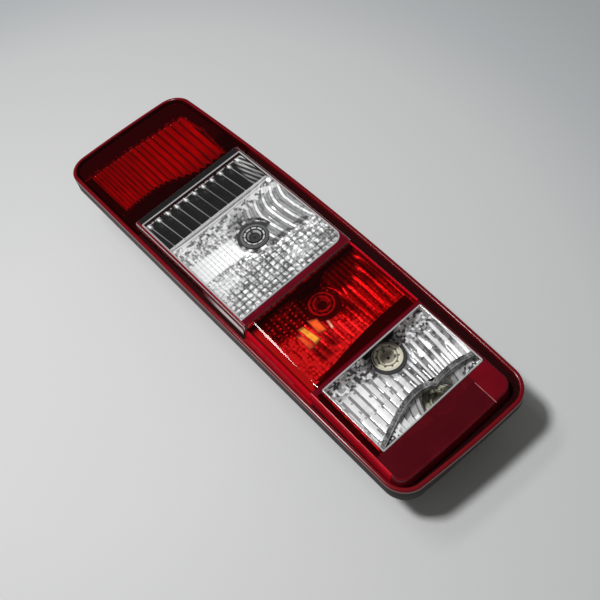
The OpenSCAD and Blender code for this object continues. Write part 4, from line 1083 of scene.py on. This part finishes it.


# rows of beads at the far left, fine flutes at the right and sparkling rows at the near
# end: painted reflection with painted glints, and a spot of painted shade
def makeMiddleReflector():
    look = middleLook
    flatX, flatY = boxGrid(look)
    r, _ = around(flatX, flatY, middleOf("middle"))
    h = seated(bowl(flatX, flatY, look), r, "middle")
    x, y = drawnOn(look["level"], flatX, flatY, h)
    row = y / look["pitch"]
    beads = 0.025 + 0.09 * (cloud(x, y * 1.5, 3.0, 64) > 0.55) \
        + spots(x, y, look["bead"], look["beadY"], 61, 0.22, 0.15)
    f = fraction((y + 3 * smooth(45, 115, x)) / look["fineY"])
    flutes = 0.16 + 0.12 * cloud(x, y * 3, 6.0, 62) + 0.35 * band(f, 0.5, 0.08, 0.1) \
        - 0.12 * band(f, 0.02, 0.1, 0.1) + 0.5 * spots(x, y, 4.5, look["fineY"], 71, 0.22)
    flutes *= 0.75 * (0.3 + 0.7 * smooth(54, 64, x - 0.5 * (y - 20)))
    sparkles = 0.4 + 0.3 * (cloud(x, y * 2, 3.6, 63) > 0.5) \
        - 0.25 * band(fraction(row), 0.02, 0.05, 0.05) \
        + 1.5 * spots(x, y, 3.8, look["pitch"] / 2, 81)
    rightPart = smooth(14, 22, y)
    tone = mixed(beads, flutes, rightPart)
    tone = mixed(tone, sparkles, smooth(70, 80, x - 0.25 * y) * (1 - rightPart))
    tone *= 1 - 0.8 * softSpot(x, y, look["shade"])
    tone = mixed(tone, 0.5, fade(-50, -46, y))
    tone = np.clip(look["gain"] * evened(tone, flatX, flatY, h), 0.01, 1.0)
    # plain parts keep their red, only the sparkles turn pale
    pale = 0.1 + 0.9 * smooth(0.32, 0.75, tone)
    tone = np.stack([tone, tone * pale, tone * pale], axis=-1)
    h = h + 0.9 * dome(row) * smooth(16, 21, r)
    return addGrid("middle_reflector_skin", onCrown(flatX, flatY, h), chrome, flip=True,
                   tone=tone, keep=faceMiddles(r) > socketHole, smoothAngle=50)


standsFor(makeMiddleReflector(), "middle_reflector")

amberReflectionPanes = [
    dict(corners=[(71.5, -31.5), (72.3, -26.6), (90.5, -23.6), (92.0, -30.0)],
         color=(0.95, 0.34, 0.03)),
    dict(corners=[(74.5, -36.5), (76.8, -32.3), (92.5, -31.2), (92.0, -36.5)],
         color=(0.7, 0.06, 0.01)),
    dict(corners=[(70.5, -21.5), (74.6, -14.0), (88.6, -15.0), (86.0, -22.4)],
         color=(0.85, 0.09, 0.012)),
    dict(corners=[(81.0, -10.2), (82.4, -8.1), (90.9, -9.9), (90.1, -12.3)],
         color=(0.8, 0.3, 0.22))]
amberLook = dict(surround=(0.09, 0.004, 0.004), fade=0.22, steps=13, above=0.06)


# painted reflection of the amber bulb glass on panes of the lens, ruled between their four
# corners and fading at their edges
def makeAmberReflection():
    look = amberLook
    s = np.linspace(0, 1, look["steps"])
    u, t = np.meshgrid(s, s, indexing="ij")
    rim = np.minimum(np.minimum(t, 1 - t), np.minimum(u, 1 - u))
    inner = smooth(0, look["fade"], rim)[..., None]
    parts = Parts()
    for cell in amberReflectionPanes:
        a, b, c, d = np.array(cell["corners"])[:, None, None, :]
        place = mixed(mixed(a, b, t[..., None]), mixed(d, c, t[..., None]), u[..., None])
        x, y = place[..., 0], place[..., 1]
        # patchy brightness of the painted reflection
        patchy = (0.55 + 0.6 * cloud(x, y, 2.0, 121))[..., None]
        tone = mixed(look["surround"], np.array(cell["color"]) * patchy, inner)
        parts.add(onCrown(x, y, blocks["middle"]["top"] + look["above"]), flip=True,
                  tone=tone)
    return parts.make("amber_reflection_panes", [paintedAmberReflection])


standsFor(makeAmberReflection())

lowerLook = dict(
    box=(118.4, 189.4, -53.4, 53.0), steps=(260, 360), edge=3.0, deep=-15.5, level=-14.0,
    centre=(127.5, 8.6), bowlTo=190, shelf=-4.4, shelfFrom=(147, 159), pitch=7.1, gain=0.9,
    ring=6.5, floorH=-18.0, stairs=3.4)
gullLine = [(-56, 184.0), (-46.1, 179.8), (-34.2, 174.9), (-21.9, 170.4), (-12, 168.0),
            (-4.6, 167.0), (3.5, 167.2), (11.0, 169.6), (13.5, 172.6), (17.5, 171.6),
            (24.9, 170.9), (34.7, 171.1), (43.0, 172.6), (49.7, 174.4), (56, 176.4)]


# far face of the two-winged wall
def gullEdge(y):
    ys, xs = np.array(gullLine).T
    return np.interp(y, ys, xs)


# wide bright flutes with dark seams: plain ones at the left, narrow mottled ones at the
# right, broken facets at the far edge and along the left side. Their lightness is painted
# reflection, darker round the socket
def stripeTone(x, y, row, look):
    f, cell = fraction(row), lattice(np.floor(row), 4, 91)
    half = 0.31 + 0.08 * cell
    left = 0.3 + (0.52 + 0.25 * cell) * fade(-0.03, 0.04, np.abs(f - 0.5) - half)
    left = left * (1 - 0.85 * band(f, 0.5 - half, 0.012, 0.03))
    patch = smooth(0.66, 0.74, cloud(x, y, 2.6, 88)) * smooth(0.56, 0.64, f)
    left = mixed(left, 0.3, patch)
    off = np.abs(f - 0.55)
    right = 0.3 + 0.7 * fade(-0.03, 0.04, off - 0.14 - 0.12 * cell)
    mottle = cloud(x, y, 1.9, 92) * cloud(x, y, 4.5, 93)
    right = mixed(right, 0.12, smooth(0.17, 0.23, off) * smooth(0.27, 0.33, mottle))
    right = right * (1 - 0.7 * band(f, 0.3, 0.02, 0.03)) \
        + 0.3 * smooth(150, 160, x) * smooth(25, 35, y)
    tone = mixed(right, left, fade(2, 6, y)) * (0.85 + 0.3 * cloud(x, y, 7.0, 87))
    farBand = fade(131, 135, x + 9 * (cloud(y, x, 6.0, 94) - 0.5))
    mosaic = 0.05 + 0.3 * (cloud(x, y, 2.2, 95) > 0.45) \
        + 0.65 * (cloud(x, y, 1.9, 96) > 0.6)
    tone = mixed(tone, mosaic, farBand)
    nearRing = fade(17, 21, around(x, y, look["centre"])[0])
    tone = tone * (1 - 0.5 * nearRing) + 0.05 * nearRing
    return mixed(tone, 0.2 + 0.7 * (cloud(x, y, 1.8, 97) > 0.5), fade(-50, -45.5, y))


# stone-like blocks of painted reflection in rings round the fog lamp, broken up at both
# sides
def stoneTone(x, y, r, turn, look):
    ring = np.floor(r / look["ring"])
    sector = np.floor((turn + 0.4 * lattice(ring, 1, 98)) / (2.4 / np.maximum(ring, 1)))
    seam = np.abs(r / look["ring"] - ring - 0.5) > 0.42
    stone = (0.7 + 0.5 * lattice(ring, sector, 99)) * (1 - 0.75 * seam) \
        + 0.1 * cloud(x, y, 2.0, 90)
    sides = np.maximum(fade(-34, -24, y), smooth(34, 42, y))
    return mixed(stone, 0.1 + 0.85 * (cloud(x, y, 1.6, 89) > 0.52), sides)


# one skin for both near bowls: fluted up to the wall, stepped in rings beyond it
def makeLowerReflector():
    look = lowerLook
    x, y = boxGrid(look)
    r, _ = around(x, y, middleOf("lower"))
    rFog, turnFog = around(x, y, middleOf("fog"))
    past = x - gullEdge(y)
    beyond = past > 1.5
    x0, _, y0, y1 = look["box"]
    wide = bowl(x, y, dict(look, box=(x0, look["bowlTo"], y0, y1)))
    rise = smooth(*look["shelfFrom"], x)
    wide = seated(np.maximum(wide, mixed(wide, look["shelf"], rise)), r, "lower")
    drawnX, drawnY = drawnOn(look["level"], x, y, wide)
    bend = 3.0 * smooth(12, 30, drawnY) * ((drawnX - 118) / 50) ** 2
    row = (drawnY + bend + 1.0) / look["pitch"]
    stripes = look["gain"] * evened(stripeTone(drawnX, drawnY, row, look), x, y, wide)
    tone = np.where(beyond, stoneTone(x, y, rFog, turnFog, look), stripes)
    steps = look["floorH"] + look["stairs"] * np.clip(np.floor((rFog - 15) / 6.0) + 1, 0, 5)
    slope = -2.5 - 1.25 * np.clip(past - 4.0, 0, None)
    wide = wide + 0.8 * dome(row) * smooth(16, 21, r)
    h = np.where(beyond, np.maximum(np.minimum(steps, 1.0), slope), wide)
    h = np.where(beyond & (rFog < 16), np.minimum(h, look["floorH"] + 0.1), h)
    keep = (faceMiddles(r) > socketHole) & (faceMiddles(rFog) > socketHole)
    return addGrid("lower_reflector_skin", onCrown(x, y, h), chrome, keep=keep, flip=True,
                   tone=np.clip(tone, 0.01, 1.2), smoothAngle=50)


wallLook = dict(box=(-0.6, 4.8, -52.5, 52.0), steps=(26, 260), top=3.4, lean=0.35)


# dark wall of two wings, its crest seen as a mottled band with painted highlights along its
# edges
def makeGullWall():
    look = wallLook
    t, y = boxGrid(look)
    near, away = look["box"][:2]
    x = gullEdge(y) + t
    h = look["top"] - look["lean"] * np.clip(t, 0, 6) \
        - 4.0 * smooth(0.2, near, t) - 6.0 * smooth(away - 0.5, away, t)
    tone = 0.05 + 0.5 * cloud(x + y, x - y, 1.6, 111) * cloud(x, y, 4.0, 112)
    tone += 0.4 * band(t, 0.1, 0.25, 0.25) * (0.3 + 0.7 * cloud(y, t, 6.0, 113))
    tone += 0.3 * band(t, 4.0, 0.2, 0.25) * (0.3 + 0.7 * cloud(y, t, 5.0, 114))
    return addGrid("gull_wall", onCrown(x, y, h), chrome, tone=tone, flip=True)


standsFor(makeGullWall(), "gull_divider")
standsFor(makeLowerReflector(), "lower_reflector", "fog_reflector")


print("stage: floor, lights and camera")
floorLook = dict(
    middle=(-0.06, -0.17, 0), reach=0.8, size=9000,
    colors=[(0, (0.497, 0.5, 0.512)), (0.17, (0.494, 0.497, 0.509)),
            (0.37, (0.456, 0.464, 0.47)), (0.54, (0.425, 0.437, 0.447)),
            (0.66, (0.352, 0.37, 0.384)), (0.78, (0.31, 0.328, 0.34)),
            (1.0, (0.29, 0.305, 0.32))])


# matt paper with a painted pool of light: paler beside the lamp and darker away from it
def makeFloorPaper():
    look = floorLook
    material, tree, out = newMaterial("floor_paper")
    shader = addNode(tree, "BsdfPrincipled", Roughness=0.85)
    shader.inputs["Specular IOR Level"].default_value = 0.2
    where = addNode(tree, "TexCoord")
    offset = addNode(tree, "VectorMath", operation="SUBTRACT")
    offset.inputs[1].default_value = look["middle"]
    length = addNode(tree, "VectorMath", operation="LENGTH")
    share = addNode(tree, "Math", operation="DIVIDE")
    share.inputs[1].default_value = look["reach"]
    ramp = addNode(tree, "ValToRGB")
    join(tree, where, "Object", offset, 0)
    join(tree, offset, 0, length, 0)
    join(tree, length, "Value", share, 0)
    join(tree, share, 0, ramp, 0)
    stops = ramp.color_ramp.elements
    while len(stops) < len(look["colors"]):
        stops.new(0.5)
    for stop, (place, color) in zip(stops, look["colors"]):
        stop.position = place
        stop.color = (*color, 1)
    bumpFrom(tree, grainOf(tree, 300), 0.02, 0.0003, shader)
    join(tree, ramp, 0, shader, "Base Color")
    join(tree, shader, 0, out, "Surface")
    return material


s = floorLook["size"]
floor = addMesh("floor", [(-s, -s, 0), (s, -s, 0), (s, s, 0), (-s, s, 0)], [(0, 1, 2, 3)],
                [makeFloorPaper()])

lights = dict(
    key_light=dict(place=(-0.32, -0.58, 2.0), target=(0.05, 0, 0), size=(0.28, 0.28),
                   power=42.8, color=(1, 0.995, 0.98)),
    streak_box=dict(place=(-0.46, -0.21, 1.24), target=(0.05, -0.05, 0.06),
                    size=(0.4, 0.14), power=3.2, color=(1, 1, 1)))
studio = dict(light=(1.0, 0.975, 0.93), mirrored=(0.1, 0.1, 0.105), strength=0.213)
view = dict(place=(0.384972, -0.192957, 0.685734), turn=(31.06883, 7.95658, 48.5234),
            lens=54.0, sensor=36.0, clip=0.01)


def areaLight(name, look):
    data = bpy.data.lights.new(name, "AREA")
    data.shape = "RECTANGLE"
    data.size, data.size_y = look["size"]
    data.energy = look["power"]
    data.color = look["color"]
    light = bpy.data.objects.new(name, data)
    bpy.context.scene.collection.objects.link(light)
    light.location = Vector(look["place"])
    aim = Vector(look["target"]) - Vector(look["place"])
    light.rotation_euler = aim.to_track_quat("-Z", "Y").to_euler()


for name, look in lights.items():
    areaLight(name, look)

# even studio light, darker where polished faces mirror it
world = bpy.data.worlds.new("studio")
bpy.context.scene.world = world
world.use_nodes = True
sky = world.node_tree
back = sky.nodes["Background"]
path = sky.nodes.new("ShaderNodeLightPath")
mix = sky.nodes.new("ShaderNodeMix")
mix.data_type = "RGBA"
mix.inputs[6].default_value = (*studio["light"], 1)
mix.inputs[7].default_value = (*studio["mirrored"], 1)
join(sky, path, "Is Glossy Ray", mix, 0)
join(sky, mix, 2, back, "Color")
back.inputs["Strength"].default_value = studio["strength"]

camera = bpy.data.objects.new("camera", bpy.data.cameras.new("camera"))
bpy.context.scene.collection.objects.link(camera)
camera.location = view["place"]
camera.rotation_euler = [math.radians(a) for a in view["turn"]]
camera.data.lens = view["lens"]
camera.data.sensor_width = view["sensor"]
camera.data.clip_start = view["clip"]
bpy.context.scene.camera = camera
bpy.context.scene.view_settings.view_transform = "Standard"
